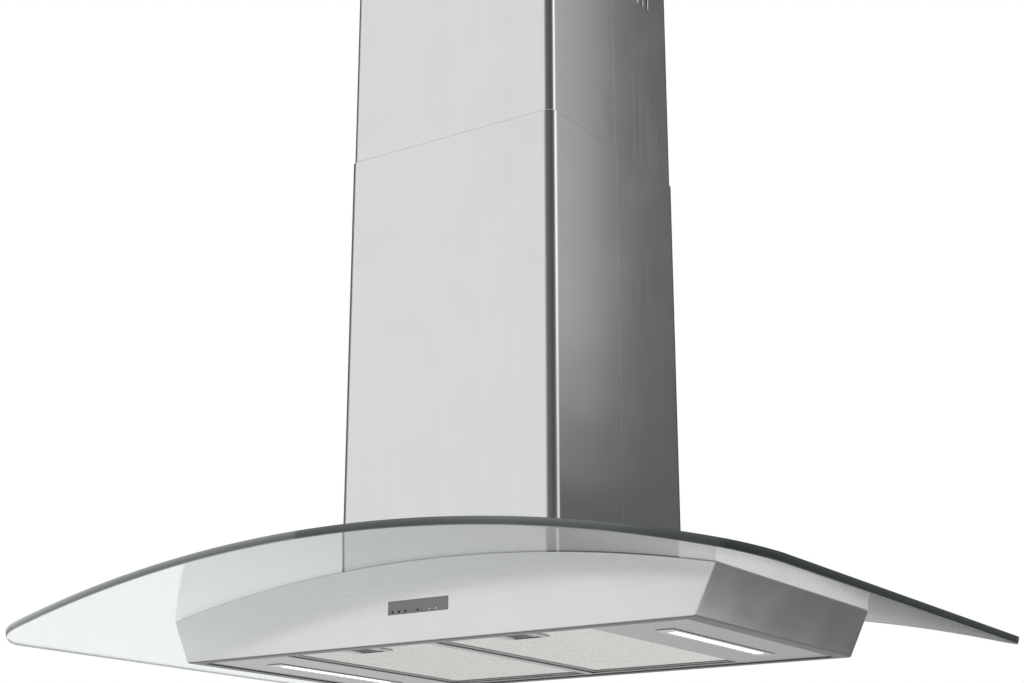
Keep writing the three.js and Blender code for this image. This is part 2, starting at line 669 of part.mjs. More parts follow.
function upperCovers() {
  const radius = CHIMNEY_CORNER - COVER_SHEET - COVER_SLIDE_GAP;
  const whole = coverTube(upperCoverWidth, upperCoverDepth, radius, UPPER_COVER_BOTTOM, upperCoverTop);
  const tube = cut(whole, ...ventSlots(), ...coverScrewHoles());
  const stripTop = ceilingUnder - CEILING_FLANGE_HEIGHT - STRIP_MARGIN;
  const strips = seamStrips(upperCoverWidth, UPPER_COVER_BOTTOM, stripTop);
  return [
    piece('upper_cover_front', coverHalf(tube, -1, CHIMNEY_WIDTH, CHIMNEY_DEPTH), 'steel'),
    piece('upper_cover_rear', join(coverHalf(tube, 1, CHIMNEY_WIDTH, CHIMNEY_DEPTH), ...strips), 'steel'),
  ];
}

// ---- ceiling plate ----
function ceilingPlate() {
  const plateX = upperCoverWidth / 2;
  const plateY = upperCoverDepth / 2;
  const flangeHalf = CEILING_FLANGE_LENGTH / 2;
  const sheet = prism(
    roundedRectangle(2 * plateX, 2 * plateY, CHIMNEY_CORNER - COVER_SHEET, SMALL_CORNER_FACETS),
    'z', ceilingUnder, HOOD_HEIGHT,
  );
  const flanges = [-1, 1].map((side) => box(
    side * (ceilingFlangeX - CEILING_SHEET), side * ceilingFlangeX,
    -flangeHalf, flangeHalf, ceilingUnder - CEILING_FLANGE_HEIGHT, HOOD_HEIGHT - CEILING_SHEET / 2,
  ));
  const opening = centredBox(CEILING_OPENING / 2, CEILING_OPENING / 2, 0, HOOD_HEIGHT + OVERRUN);
  const spread = CEILING_HOLE_SPACING / 2;
  const holes = [[spread, 0], [-spread, 0], [0, spread], [0, -spread]].map(
    ([x, y]) => rod('z', CEILING_HOLE_DIAMETER / 2, 0, HOOD_HEIGHT + OVERRUN, x, y, SMALL_ROUND),
  );
  return piece('ceiling_plate', cut(join(sheet, ...flanges), opening, ...holes, ...coverScrewHoles()), 'zinc');
}

function coverScrews() {
  const face = upperCoverWidth / 2 + SEAT_GAP;
  return coverScrewPlaces().map(([place, side, y]) => {
    const span = (a, b) => [side * a, side * b].sort((p, q) => p - q);
    const tip = face - COVER_SCREW_LENGTH;
    const headFace = face + COVER_SCREW_HEAD_HEIGHT;
    const head = rod('x', COVER_SCREW_HEAD / 2, ...span(face, headFace), y, coverScrewHeight);
    const shank = rod(
      'x', COVER_SCREW_DIAMETER / 2, ...span(tip, face + OVERRUN), y, coverScrewHeight, SMALL_ROUND,
    );
    return piece(`cover_screw_${place}`, join(head, shank), 'bolt');
  });
}

// ---- motor box, blower and duct collar ----
function motorBox() {
  const outside = centredBox(boxHalf, boxHalf, boxBottom, boxTop);
  const inside = centredBox(boxHalf - BOX_SHEET, boxHalf - BOX_SHEET, boxBottom - OVERRUN, boxTop - BOX_SHEET);
  const outlet = rod('z', collarInner, boxTop - BOX_SHEET - OVERRUN, boxTop + OVERRUN, 0, 0, LARGE_ROUND);
  return piece('motor_box', cut(outside, inside, outlet), 'zinc');
}

// Side view of the scroll, in Y and Z: a spiral that opens into a mouth at the given height.
function scrollOutline(inset, mouthHeight) {
  const points = [];
  for (let i = 0; i <= SCROLL_STEPS; i += 1) {
    const turn = i / SCROLL_STEPS;
    const radius = scrollMin + (scrollMax - scrollMin) * turn - inset;
    const angleNow = THREE.MathUtils.degToRad(SCROLL_START + (SCROLL_END - SCROLL_START) * turn);
    points.push(new THREE.Vector2(radius * Math.cos(angleNow), impellerAxis + radius * Math.sin(angleNow)));
  }
  const half = SCROLL_MOUTH / 2 - inset;
  const neck = impellerAxis + scrollMin;
  points.push(new THREE.Vector2(scrollMax - inset, impellerAxis + scrollMin / 2));
  points.push(new THREE.Vector2(half, mouthHeight));
  points.push(new THREE.Vector2(-half, mouthHeight));
  points.push(new THREE.Vector2(inset - SCROLL_NECK, neck));
  return points;
}

function blowerScroll() {
  const outside = prism(scrollOutline(0, scrollTop), 'x', -scrollHalf, scrollHalf);
  const innerHalf = scrollHalf - SCROLL_WALL;
  const inside = prism(scrollOutline(SCROLL_WALL, scrollTop + OVERRUN), 'x', -innerHalf, innerHalf);
  const inlet = rod('x', INLET_DIAMETER / 2, -scrollHalf - OVERRUN, 0, 0, impellerAxis, LARGE_ROUND);
  const shaftHole = rod('x', SHAFT_HOLE_DIAMETER / 2, 0, scrollHalf + OVERRUN, 0, impellerAxis);
  return piece('blower_scroll', cut(outside, inside, inlet, shaftHole), 'whitePlastic');
}

function motor() {
  const face = scrollHalf + SEAT_GAP;
  const back = face + MOTOR_FLANGE_THICKNESS;
  const flange = rod('x', MOTOR_FLANGE_DIAMETER / 2, face, back, 0, impellerAxis, LARGE_ROUND);
  const can = rod('x', MOTOR_DIAMETER / 2, face, face + MOTOR_LENGTH, 0, impellerAxis, LARGE_ROUND);
  const shaftEnd = -IMPELLER_LENGTH / 2 + BLADE_DEPTH;
  const shaft = rod('x', SHAFT_DIAMETER / 2, shaftEnd, face + OVERRUN, 0, impellerAxis, MEDIUM_ROUND);
  return piece('motor', join(flange, can, shaft), 'blackPlastic');
}

// Squirrel-cage wheel: a driven disc, a front ring, blades between them and a long hub.
function impeller() {
  const half = IMPELLER_LENGTH / 2;
  const outer = IMPELLER_DIAMETER / 2;
  const rim = outer - BLADE_DEPTH;
  const disc = rod('x', outer, half - IMPELLER_PLATE, half, 0, 0, WIDE_ROUND);
  const ring = cut(
    rod('x', outer, -half, IMPELLER_PLATE - half, 0, 0, WIDE_ROUND),
    rod('x', rim, -half - OVERRUN, IMPELLER_PLATE + OVERRUN - half, 0, 0, WIDE_ROUND),
  );
  const hub = rod('x', HUB_DIAMETER / 2, 0, half, 0, 0, MEDIUM_ROUND);
  const boreRadius = SHAFT_DIAMETER / 2 + SHAFT_CLEARANCE;
  const bore = rod('x', boreRadius, -half - OVERRUN, half + OVERRUN, 0, 0, MEDIUM_ROUND);
  const blades = Array.from({ length: IMPELLER_BLADES }, (_, i) => {
    const geometry = new THREE.BoxGeometry(IMPELLER_LENGTH - IMPELLER_PLATE, BLADE_WIDTH, BLADE_THICKNESS);
    geometry.rotateX(THREE.MathUtils.degToRad(BLADE_TILT));
    geometry.translate(0, outer - BLADE_INSET, 0);
    geometry.rotateX((2 * Math.PI * i) / IMPELLER_BLADES);
    return solidOf(geometry);
  });
  const wheel = piece('impeller', cut(join(disc, ring, hub, ...blades), bore), 'zinc');
  wheel.position.set(0, 0, impellerAxis);
  return wheel;
}

// Spigot for the duct, with the rod that the damper flaps hang on.
function ductCollar() {
  const top = collarBottom + COLLAR_HEIGHT;
  const tube = rod('z', collarOuter, collarBottom, top, 0, 0, WIDE_ROUND);
  const flangeTop = collarBottom + COLLAR_FLANGE_THICKNESS;
  const flange = rod('z', collarOuter + COLLAR_FLANGE_WIDTH, collarBottom, flangeTop, 0, 0, WIDE_ROUND);
  const hollow = rod('z', collarInner, collarBottom - OVERRUN, top + OVERRUN, 0, 0, WIDE_ROUND);
  const reach = collarInner + COLLAR_SHEET / 2;
  const pivot = rod('x', DAMPER_ROD_DIAMETER / 2, -reach, reach, 0, damperAxis);
  return piece('duct_collar', join(cut(join(tube, flange), hollow), pivot), 'blackPlastic');
}

// Half-round flap that hangs on the rod by its own barrels, clear of the other flap's.
function damperFlap(name, side, barrels) {
  const radius = collarInner - DAMPER_EDGE_CLEARANCE;
  const bore = DAMPER_ROD_DIAMETER / 2 + SEAT_GAP;
  const barrelRadius = bore + DAMPER_BARREL_WALL;
  const half = DAMPER_SHEET / 2;
  const disc = rod('z', radius, -half, half, 0, 0, WIDE_ROUND);
  const leafEdge = side * (barrelRadius + SEAT_GAP);
  const leaf = disc.intersect(box(-radius, radius, leafEdge, side * radius, -DAMPER_SHEET, DAMPER_SHEET));
  const knuckles = barrels.flatMap(([from, to]) => [
    rod('x', barrelRadius, from, to, 0, 0),
    box(from, to, 0, side * (barrelRadius + OVERRUN), -half, half),
  ]);
  const hole = rod('x', bore, -radius, radius, 0, 0);
  const flap = piece(name, cut(join(leaf, ...knuckles), hole), 'blackPlastic');
  flap.position.set(0, 0, damperAxis);
  return flap;
}

function damperFlaps() {
  const pitch = collarInner / 4;
  const gap = SEAT_GAP / 2;
  return [
    damperFlap('damper_flap_front', -1, [[-3 * pitch, -pitch - gap], [pitch + gap, 3 * pitch]]),
    damperFlap('damper_flap_rear', 1, [[-pitch + gap, pitch - gap]]),
  ];
}

// ---- electrics ----
function electrics() {
  const top = deckBottom - SEAT_GAP;
  const y = (deckOpeningHalf + deckFront - DECK_SHEET) / 2;
  const [boxX, boxY, boxZ] = TERMINAL_BOX_SIZE;
  const [driverX, driverY, driverZ] = LED_DRIVER_SIZE;
  const inner = GLASS_SCREW_SPACING / 2 + NUT_DIAMETER / 2 + ELECTRICS_CLEARANCE;
  const boxRight = -inner;
  const boxLeft = boxRight - boxX;
  const middle = top - boxZ / 2;
  const glandFace = boxLeft - SEAT_GAP;
  const gland = join(
    rod('x', GLAND_DIAMETER / 2, glandFace - GLAND_NUT_LENGTH, glandFace, y, middle, HEXAGON),
    rod('x', GLAND_NECK_DIAMETER / 2, glandFace - GLAND_LENGTH, glandFace, y, middle),
  );
  const bore = rod('x', GLAND_BORE / 2, glandFace - GLAND_LENGTH - OVERRUN, boxLeft, y, middle);
  return [
    piece('terminal_box', box(boxLeft, boxRight, y - boxY / 2, y + boxY / 2, top - boxZ, top), 'blackPlastic'),
    piece('cable_gland', cut(gland, bore), 'blackPlastic'),
    piece('led_driver', box(
      inner, inner + driverX, y - driverY / 2, y + driverY / 2, top - driverZ, top,
    ), 'whitePlastic'),
  ];
}

// ---- grease filters ----
// One filter about x = 0: a folded frame, the mesh pack inside it, and the sprung latch.
function filterFrame(name) {
  const halfX = FILTER_WIDTH / 2;
  const halfY = FILTER_DEPTH / 2;
  const cupX = LATCH_CUP_WIDTH / 2;
  const outside = centredBox(halfX, halfY, filterBottom, filterTop);
  const cavity = centredBox(
    halfX - FILTER_SKIN, halfY - FILTER_SKIN, filterBottom + FILTER_SKIN, filterTop - FILTER_SKIN,
  );
  const window = centredBox(halfX - FILTER_BORDER, halfY - FILTER_BORDER, 0, filterTop + OVERRUN);
  const cupBlock = box(-cupX, cupX, -halfY, LATCH_CUP_DEPTH - halfY, filterBottom, filterTop);
  const latchHalf = LATCH_WIDTH / 2 + SEAT_GAP;
  const cup = box(
    -latchHalf, latchHalf,
    FILTER_SKIN - halfY, LATCH_CUP_DEPTH - FILTER_SKIN - halfY,
    filterBottom - OVERRUN, filterTop - FILTER_SKIN,
  );
  const tongueSlot = box(
    -latchHalf, latchHalf, -halfY - OVERRUN, FILTER_SKIN + OVERRUN - halfY,
    filterBottom - OVERRUN, filterBottom + TAB_THICKNESS + SEAT_GAP,
  );
  const tabs = [-1, 1].map((side) => box(
    side * (TAB_SPACING / 2) - TAB_WIDTH / 2, side * (TAB_SPACING / 2) + TAB_WIDTH / 2,
    halfY - OVERRUN, halfY + TAB_REACH, filterBottom, filterBottom + TAB_THICKNESS,
  ));
  const solid = cut(join(cut(outside, cavity, window), cupBlock, ...tabs), cup, tongueSlot);
  return piece(`filter_frame_${name}`, solid, 'panel');
}

function filterMesh(name) {
  const inset = FILTER_SKIN + SEAT_GAP;
  const halfX = FILTER_WIDTH / 2 - inset;
  const halfY = FILTER_DEPTH / 2 - inset;
  const slab = centredBox(halfX, halfY, filterBottom + inset, filterTop - inset);
  const cupX = LATCH_CUP_WIDTH / 2 + SEAT_GAP;
  const notch = box(-cupX, cupX, -FILTER_DEPTH, LATCH_CUP_DEPTH + SEAT_GAP - FILTER_DEPTH / 2, 0, filterTop);
  return piece(`filter_mesh_${name}`, cut(slab, notch), 'mesh');
}

function filterLatch(name) {
  const half = LATCH_WIDTH / 2;
  const front = -FILTER_DEPTH / 2;
  const grip = front + LATCH_CUP_DEPTH - FILTER_SKIN - SEAT_GAP - LATCH_TRAVEL;
  const tongueTop = filterBottom + TAB_THICKNESS;
  const tongue = box(-half, half, front - LATCH_REACH, grip, filterBottom, tongueTop);
  const pull = box(-half, half, grip - TAB_THICKNESS, grip, filterBottom, tongueTop + LATCH_GRIP_HEIGHT);
  const stemTop = filterTop - FILTER_SKIN - SEAT_GAP;
  const stem = box(-half / 2, half / 2, front + LATCH_STEM_START, grip, filterBottom, stemTop);
  return piece(`filter_latch_${name}`, join(tongue, pull, stem), 'bolt');
}

function filters() {
  return [['left', -1], ['right', 1]].map(([name, side]) => {
    const filter = new THREE.Group();
    filter.add(filterFrame(name), filterMesh(name), filterLatch(name));
    filter.position.x = side * filterX;
    return filter;
  });
}

// ---- lamps ----
function lampBodyHalfWidth() {
  return LENS_WIDTH / 2 + SEAT_GAP + LAMP_WALL;
}

function lampBodyHalfLength() {
  return LENS_LENGTH / 2 + SEAT_GAP + LAMP_WALL;
}

// Tray above the panel with a bezel below it, and the diffuser in its mouth.
function lamps() {
  return [['left', -1], ['right', 1]].map(([name, side]) => {
    const bezelTop = panelBottom - SEAT_GAP;
    const bezelBottom = bezelTop - BEZEL_THICKNESS;
    const top = panelTop + LAMP_DEPTH;
    const bezel = centredBox(BEZEL_WIDTH / 2, BEZEL_LENGTH / 2, bezelBottom, bezelTop);
    const tray = centredBox(lampBodyHalfWidth(), lampBodyHalfLength(), bezelBottom, top);
    const mouth = centredBox(LENS_WIDTH / 2 + SEAT_GAP, LENS_LENGTH / 2 + SEAT_GAP, 0, top - LAMP_WALL);
    const lens = centredBox(LENS_WIDTH / 2, LENS_LENGTH / 2, bezelTop, bezelTop + LENS_THICKNESS);
    const lamp = new THREE.Group();
    lamp.add(
      piece(`lamp_housing_${name}`, cut(join(bezel, tray), mouth), 'steel'),
      piece(`lamp_lens_${name}`, lens, 'lens'),
    );
    lamp.position.x = side * lampX;
    return lamp;
  });
}

// ---- control panel ----
function controlPanel() {
  const group = new THREE.Group();
  const halfX = CONTROL_WIDTH / 2;
  const halfZ = CONTROL_HEIGHT / 2;
  const plate = box(-halfX, halfX, controlFace, controlFlangeBack, -halfZ, halfZ);
  const flangeX = halfX + CONTROL_FLANGE;
  const flangeZ = halfZ + CONTROL_FLANGE;
  const flange = box(-flangeX, flangeX, controlFlangeFront, controlFlangeBack, -flangeZ, flangeZ);
  const postX = halfX + CONTROL_FLANGE / 2;
  const posts = [-postX, postX].map(
    (x) => rod('y', CONTROL_POST_DIAMETER / 2, controlFlangeFront, boardFront - SEAT_GAP, x, 0, SMALL_ROUND),
  );
  const keyHoleRadius = KEY_DIAMETER / 2 + SEAT_GAP;
  const keyHoles = KEY_PLACES.map(
    (x) => rod('y', keyHoleRadius, controlFace - OVERRUN, boardFront, x, -KEY_DROP, SMALL_ROUND),
  );
  group.add(piece('control_fascia', cut(join(plate, flange, ...posts), ...keyHoles), 'fascia'));
  const board = box(-flangeX, flangeX, boardFront, boardFront + BOARD_SHEET, -halfZ, halfZ);
  group.add(piece('control_board', board, 'board'));
  KEY_PLACES.forEach((x, i) => {
    const cap = rod('y', KEY_DIAMETER / 2, controlFace - KEY_PROUD, keyBack, 0, 0, SMALL_ROUND);
    const collar = rod('y', KEY_COLLAR_DIAMETER / 2, keyCollarFront, keyBack, 0, 0, SMALL_ROUND);
    const look = i < DARK_KEYS ? 'darkKey' : 'paleKey';
    const key = piece(`control_key_${i + 1}`, join(cap, collar), look);
    key.position.set(x, 0, -KEY_DROP);
    group.add(key);
  });
  group.position.z = CONTROL_RISE;
  return group;
}

// ---- assembly ----
function buildHood() {
  const ceilingSide = new THREE.Group();
  const canopySide = new THREE.Group();
  const frame = frameAngles();
  ceilingSide.add(ceilingPlate(), ...frame.ceiling, ...upperCovers(), ...coverScrews());
  canopySide.add(
    canopyShell(), topPlate(), glassGasket(), glassCanopy(), ...glassScrews(), deckPlate(), undersidePanel(),
    ...frame.canopy, ...lowerCovers(),
    motorBox(), blowerScroll(), motor(), impeller(), ductCollar(), ...damperFlaps(),
    ...electrics(), ...filters(), ...lamps(), controlPanel(),
  );
  const hood = new THREE.Group();
  hood.add(ceilingSide, canopySide);
  hood.position.z = -HOOD_HEIGHT;
  hood.updateMatrixWorld(true);
  const model = new THREE.Group();
  model.add(hood);
  return model;
}

export default buildHood();
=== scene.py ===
import math

import bmesh
import bpy
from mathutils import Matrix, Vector


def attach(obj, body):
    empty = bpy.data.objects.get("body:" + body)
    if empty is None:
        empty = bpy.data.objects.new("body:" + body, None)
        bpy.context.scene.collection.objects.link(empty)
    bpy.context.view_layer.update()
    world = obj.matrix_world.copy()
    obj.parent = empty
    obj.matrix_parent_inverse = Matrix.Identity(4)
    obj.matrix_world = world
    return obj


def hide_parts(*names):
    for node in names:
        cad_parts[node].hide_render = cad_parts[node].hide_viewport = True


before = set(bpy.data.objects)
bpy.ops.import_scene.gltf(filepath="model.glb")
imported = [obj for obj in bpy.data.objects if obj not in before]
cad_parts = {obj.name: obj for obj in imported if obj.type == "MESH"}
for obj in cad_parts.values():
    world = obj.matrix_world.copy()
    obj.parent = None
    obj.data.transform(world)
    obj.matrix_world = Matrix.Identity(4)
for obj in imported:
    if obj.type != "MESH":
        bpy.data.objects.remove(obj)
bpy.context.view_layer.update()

# Sizes are in millimetres, and heights start at the lip under the canopy. row() turns both into
# the frame's metres, which start at the ceiling.
MM = 0.001
HOOD_HEIGHT = 850.0
SEAT_GAP = 0.3

# Angles in degrees above which an edge is shaded as sharp.
SHARP = 35.0
GLASS_SHARP = 28.0
SHEET_SHARP = 40.0
MESH_SHARP = 20.0

GLASS_WIDTH = 900.0
GLASS_DEPTH = 650.0
GLASS_THICKNESS = 8.0
GLASS_CORNER = 40.0
GLASS_EDGE = ((1.1, 0.0), (0.5, 0.12), (0.13, 0.5), (0.0, 1.1))  # inset and height of its rounding
GLASS_ROW = 200.0  # row of points between the cut-out and the edge
ARCH_STEPS = 30  # on each side of the cut-out
CUTOUT_STEPS = 20
CORNER_STEPS = 14
HOLE_SIDES = 24
POST_SIDES = 16  # of small round holes and posts
ARCH_RADIUS = 1570.0
ARCH_CROWN = 82.0
CUTOUT_HALF = 102.0
GLASS_SCREW_X = 45.0
GLASS_SCREW_Y = 117.0
GLASS_HOLE_RADIUS = 4.0
GLASS_HOLE_SPAN = (60.0, 110.0)

BODY_BOTTOM_WIDTH = 614.0
BODY_TOP_WIDTH = 657.0
BODY_DEPTH = 348.0
BODY_SHEET = 1.0
BODY_BEND = 1.6  # outer radius of the bend at the lip
BODY_FOLD = 0.7  # outer radius of the four upright corners
BODY_INNER_FOLD = 0.3
BODY_END_PAINTED_SHADE_BAND = 3.0  # within it, one more row of the bend gets the lip's painted shade
LIP_WIDTH = 12.0
GASKET_THICKNESS = 2.0
GASKET_COVER = 0.4  # rim of the shell that hides the gasket
GASKET_COVER_RISE = 1.9

CHIMNEY_WIDTH = 272.0
CHIMNEY_DEPTH = 268.0
CHIMNEY_CORNER = 11.0
COVER_SHEET = 1.0
COVER_STEP = 1.5
LOWER_COVER_TOP = 556.0
UPPER_COVER_BOTTOM = 430.0
CREST_HEIGHT = 1.0
CREST = ((0.06, 0.35), (0.22, 0.68), (0.48, 0.9), (0.78, 1.0))  # inset and rise of its rounding
SEAM_ROUNDING = 0.2
COVER_LAP = 12.0
LOWER_LAP_HEIGHT = 130.0
LAP_WEB_GAP = 0.2
TONGUE_LAP = 3.0
TONGUE_SHEET = 0.25
TONGUE_CLEARANCE = 0.03
TONGUE_START = 0.5
VENT_COUNT = 5
VENT_PITCH = 11.7
VENT_WIDTH = 5.0
VENT_HEIGHT = 50.0
VENT_BOTTOM = 766.0
VENT_FROM_SEAM = 82.5
CEILING_SHEET = 2.0
CEILING_FLANGE_ROOM = 23.0
COVER_SCREW_OFFSET = 55.0
COVER_SCREW_DROP = 12.0
COVER_HOLE_RADIUS = 2.3

PANEL_BOTTOM = 1.3
PANEL_TOP = 2.3
PANEL_EDGE_GAP = 1.5
FILTER_WIDTH = 180.0
FILTER_DEPTH = 304.0
FILTER_THICKNESS = 9.0
FILTER_BORDER = 4.5  # what shows round the mesh, as narrow as in the photo
FILTER_SHEET = 1.2
FILTER_BEND = 1.4
FILTER_CORNER = 2.5
FILTER_FALL = 0.15  # of the border towards the mesh
FILTER_BOTTOM = 2.6
FILTER_X = 95.7
FILTER_GAP = 1.0
TAB_X = 60.0
TAB_WIDTH = 20.0
TAB_REACH = 7.0
TAB_ROOT = 1.0
TAB_SHEET = 1.5
MESH_UNDER_BORDER = 1.8
# Layers of expanded metal: height in the filter, pitch across and along, strand, sheet, tone; tone
# 1 paints the deeper layers darker as shade.
MESH_LAYERS = (
    (1.5, 6.0, 4.0, 0.8, 0.3, 0), (3.6, 10.0, 6.4, 1.5, 0.35, 1), (6.8, 9.0, 5.6, 1.3, 0.35, 1),
)
STRAND_TILT = 0.25
LATCH_CUP_WIDTH = 46.0
LATCH_CUP_DEPTH = 34.0
LATCH_WIDTH = 30.0
LATCH_REACH = 6.0
LATCH_TRAVEL = 7.0
LATCH_SHEET = 1.5
POCKET_WIDTH = 24.0
POCKET_START = 7.0  # from the front of the filter
POCKET_WALL = 1.4
POCKET_SHEET = 0.6
POCKET_FLOOR_WIDTH = 22.0

LAMP_X = 240.85
LENS_WIDTH = 13.0
LENS_LENGTH = 192.0
LAMP_WALL = 1.2
LAMP_ROOF = 14.1
BEZEL_LAP = 1.2  # over the edge of the lens
BEZEL_WIDTH = 20.0
BEZEL_LENGTH = 220.0
BEZEL_BOTTOM = 0.3
BEZEL_TOP = 0.95
BEZEL_ROUNDING = 0.2

CONTROL_WIDTH = 73.5
CONTROL_HEIGHT = 13.0
CONTROL_RISE = 36.0
CONTROL_PROUD = 0.4
CONTROL_CORNER = 0.8
# Inset or radius of the fascia and of a key, each with its depth behind the fascia's face.
FASCIA_PROFILE = ((0.5, 0.0), (0.15, 0.08), (0.0, 0.35), (0.0, 1.8), (-3.0, 1.8), (-3.0, 2.7))
KEY_PROFILE = ((0.45, -0.4), (0.85, -0.34), (1.1, -0.15), (1.1, 3.0), (2.0, 3.0), (2.0, 3.8))
POST_OFFSET = 1.5  # outside the fascia's ends
POST_RADIUS = 1.2
POST_SPAN = (2.6, 4.4)
KEY_DROP = 4.2
KEY_HOLE_RADIUS = 1.4
KEY_PLACES = (-31.0, -23.0, -15.0, 0.0, 14.5, 22.5)
DARK_KEYS = 4

ARCH_CENTRE = ARCH_CROWN - ARCH_RADIUS
GLASS_TOP_RADIUS = ARCH_RADIUS + GLASS_THICKNESS
WALL_TOP_RADIUS = ARCH_RADIUS - SEAT_GAP - GASKET_THICKNESS - SEAT_GAP


def arch(radius, x):
    return ARCH_CENTRE + math.sqrt(radius * radius - x * x)


BODY_SLOPE = (BODY_TOP_WIDTH - BODY_BOTTOM_WIDTH) / 2 / arch(WALL_TOP_RADIUS, BODY_TOP_WIDTH / 2)
TOP_ARCH_TILT = BODY_TOP_WIDTH / 2 / WALL_TOP_RADIUS


def add_object(name, data):
    made = bpy.data.objects.new(name, data)
    bpy.context.scene.collection.objects.link(made)
    return made


# ---- materials ----
class Nodes:
    """Helpers that add nodes to one tree."""

    def __init__(self, tree):
        self.tree = tree

    def node(self, kind, **values):
        node = self.tree.nodes.new(kind)
        for key, value in values.items():
            setattr(node, key, value)
        return node

    def link(self, source, target):
        self.tree.links.new(source, target)

    def feed(self, value, socket):
        """Sets a socket to a number or a colour, or links it to its source."""
        if isinstance(value, tuple):
            socket.default_value = (*value, 1.0)
        elif isinstance(value, (int, float)):
            socket.default_value = value
        else:
            self.link(value, socket)

    def spread(self, source, low, high, new_low=0.0, new_high=1.0, **values):
        ramp = self.node("ShaderNodeMapRange", **values)
        self.link(source, ramp.inputs["Value"])
        for value, socket in zip((low, high, new_low, new_high), ramp.inputs[1:5]):
            socket.default_value = value
        return ramp.outputs["Result"]

    def math(self, operation, a, b=0.0):
        node = self.node("ShaderNodeMath", operation=operation)
        for value, socket in zip((a, b), node.inputs):
            self.feed(value, socket)
        return node.outputs[0]

    def blend(self, factor, a, b):
        """Colour between a and b, each a colour or a socket."""
        mix = self.node("ShaderNodeMix", data_type="RGBA")
        self.link(factor, mix.inputs[0])
        self.feed(a, mix.inputs[6])
        self.feed(b, mix.inputs[7])
        return mix.outputs[2]

    def mixed(self, factor, a, b):
        """Shader a where the factor is 0, shader b where it is 1."""
        mix = self.node("ShaderNodeMixShader")
        for source, socket in zip((factor, a, b), mix.inputs):
            self.link(source, socket)
        return mix.outputs[0]

    def ramp(self, source, stops):
        """Colour ramp through stops of (place from 0 to 1, colour)."""
        ramp = self.node("ShaderNodeValToRGB")
        elements = ramp.color_ramp.elements
        while len(elements) > 1:
            elements.remove(elements[0])
        for i, (place, color) in enumerate(stops):
            element = elements[0] if i == 0 else elements.new(place)
            element.position = place
            element.color = (*color, 1.0)
        self.link(source, ramp.inputs["Fac"])
        return ramp.outputs["Color"]


class Look(Nodes):
    """A node material with one Principled shader and helpers that add texture to it."""

    def __init__(self, name, metallic=0.0, roughness=0.5):
        self.mat = bpy.data.materials.new(name)
        self.mat.use_nodes = True
        super().__init__(self.mat.node_tree)
        self.shader = self.tree.nodes["Principled BSDF"]
        self.put("Metallic", metallic)
        self.put("Roughness", roughness)
        self.place = self.node("ShaderNodeTexCoord").outputs["Object"]

    def put(self, socket, value):
        self.shader.inputs[socket].default_value = value

    def stretched(self, scale):
        """The place in the mesh, scaled by one or three numbers of cycles per metre."""
        mapping = self.node("ShaderNodeMapping")
        mapping.inputs["Scale"].default_value = scale if isinstance(scale, tuple) else (scale,) * 3
        self.link(self.place, mapping.inputs["Vector"])
        return mapping.outputs["Vector"]

    def noise(self, scale, detail=3.0, roughness=0.5):
        noise = self.node("ShaderNodeTexNoise")
        for key, value in (("Scale", 1.0), ("Detail", detail), ("Roughness", roughness)):
            noise.inputs[key].default_value = value
        self.link(self.stretched(scale), noise.inputs["Vector"])
        return noise.outputs["Fac"]

    def color(self, source):
        self.link(source, self.shader.inputs["Base Color"])

    def roughness(self, source):
        self.link(source, self.shader.inputs["Roughness"])

    def bump(self, height, distance, strength=1.0):
        bump = self.node("ShaderNodeBump")
        bump.inputs["Distance"].default_value = distance
        bump.inputs["Strength"].default_value = strength
        self.link(height, bump.inputs["Height"])
        self.link(bump.outputs["Normal"], self.shader.inputs["Normal"])


def shade(color, factor):
    return tuple(min(1.0, c * factor) for c in color)


def brushed(name, color, grain, roughness, turn="Z", contrast=0.05):
    """Satin sheet metal: fine long scratches, faint cloudiness and a stretched gloss."""
    look = Look(name, metallic=1.0)
    scratches = look.noise(grain, detail=4.0, roughness=0.65)
    clouds = look.noise(5.0)
    smudges = look.noise(17.0, detail=4.0)
    broad = look.noise(tuple(g / 12 for g in grain), roughness=0.6)
    fine = look.blend(
        look.spread(scratches, 0.3, 0.7), shade(color, 1 - contrast), shade(color, 1 + contrast))
    streaks = look.blend(look.spread(broad, 0.35, 0.65, 0.0, 0.4), fine, shade(color, 0.96))
    look.color(look.blend(look.spread(clouds, 0.35, 0.65, 0.0, 0.35), streaks, shade(color, 0.98)))
    uneven = look.math("ADD", look.spread(scratches, 0.25, 0.75, -0.05, 0.05),
                       look.spread(smudges, 0.4, 0.7, 0.0, 0.03))
    look.roughness(look.math("ADD", uneven, roughness))
    look.bump(scratches, 0.000006)
    look.put("Anisotropic", 0.3)
    tangent = look.node("ShaderNodeTangent", direction_type="RADIAL", axis=turn)
    look.link(tangent.outputs["Tangent"], look.shader.inputs["Tangent"])
    return look.mat


def zinc_sheet():
    """Galvanised sheet with the soft spangle of hot-dip zinc."""
    look = Look("galvanised_sheet", metallic=0.9)
    spangle = look.node("ShaderNodeTexVoronoi", feature="F1")
    spangle.inputs["Scale"].default_value = 1.0
    look.link(look.stretched(90.0), spangle.inputs["Vector"])
    grey = look.node("ShaderNodeRGBToBW")
    look.link(spangle.outputs["Color"], grey.inputs["Color"])
    crystal = grey.outputs["Val"]
    fine = look.noise(700.0)
    look.color(look.blend(look.spread(crystal, 0.2, 0.8), (0.46, 0.48, 0.49), (0.6, 0.615, 0.62)))
    look.roughness(look.spread(crystal, 0.2, 0.8, 0.36, 0.52))
    look.bump(look.math("ADD", crystal, fine), 0.00003, 0.6)
    return look.mat


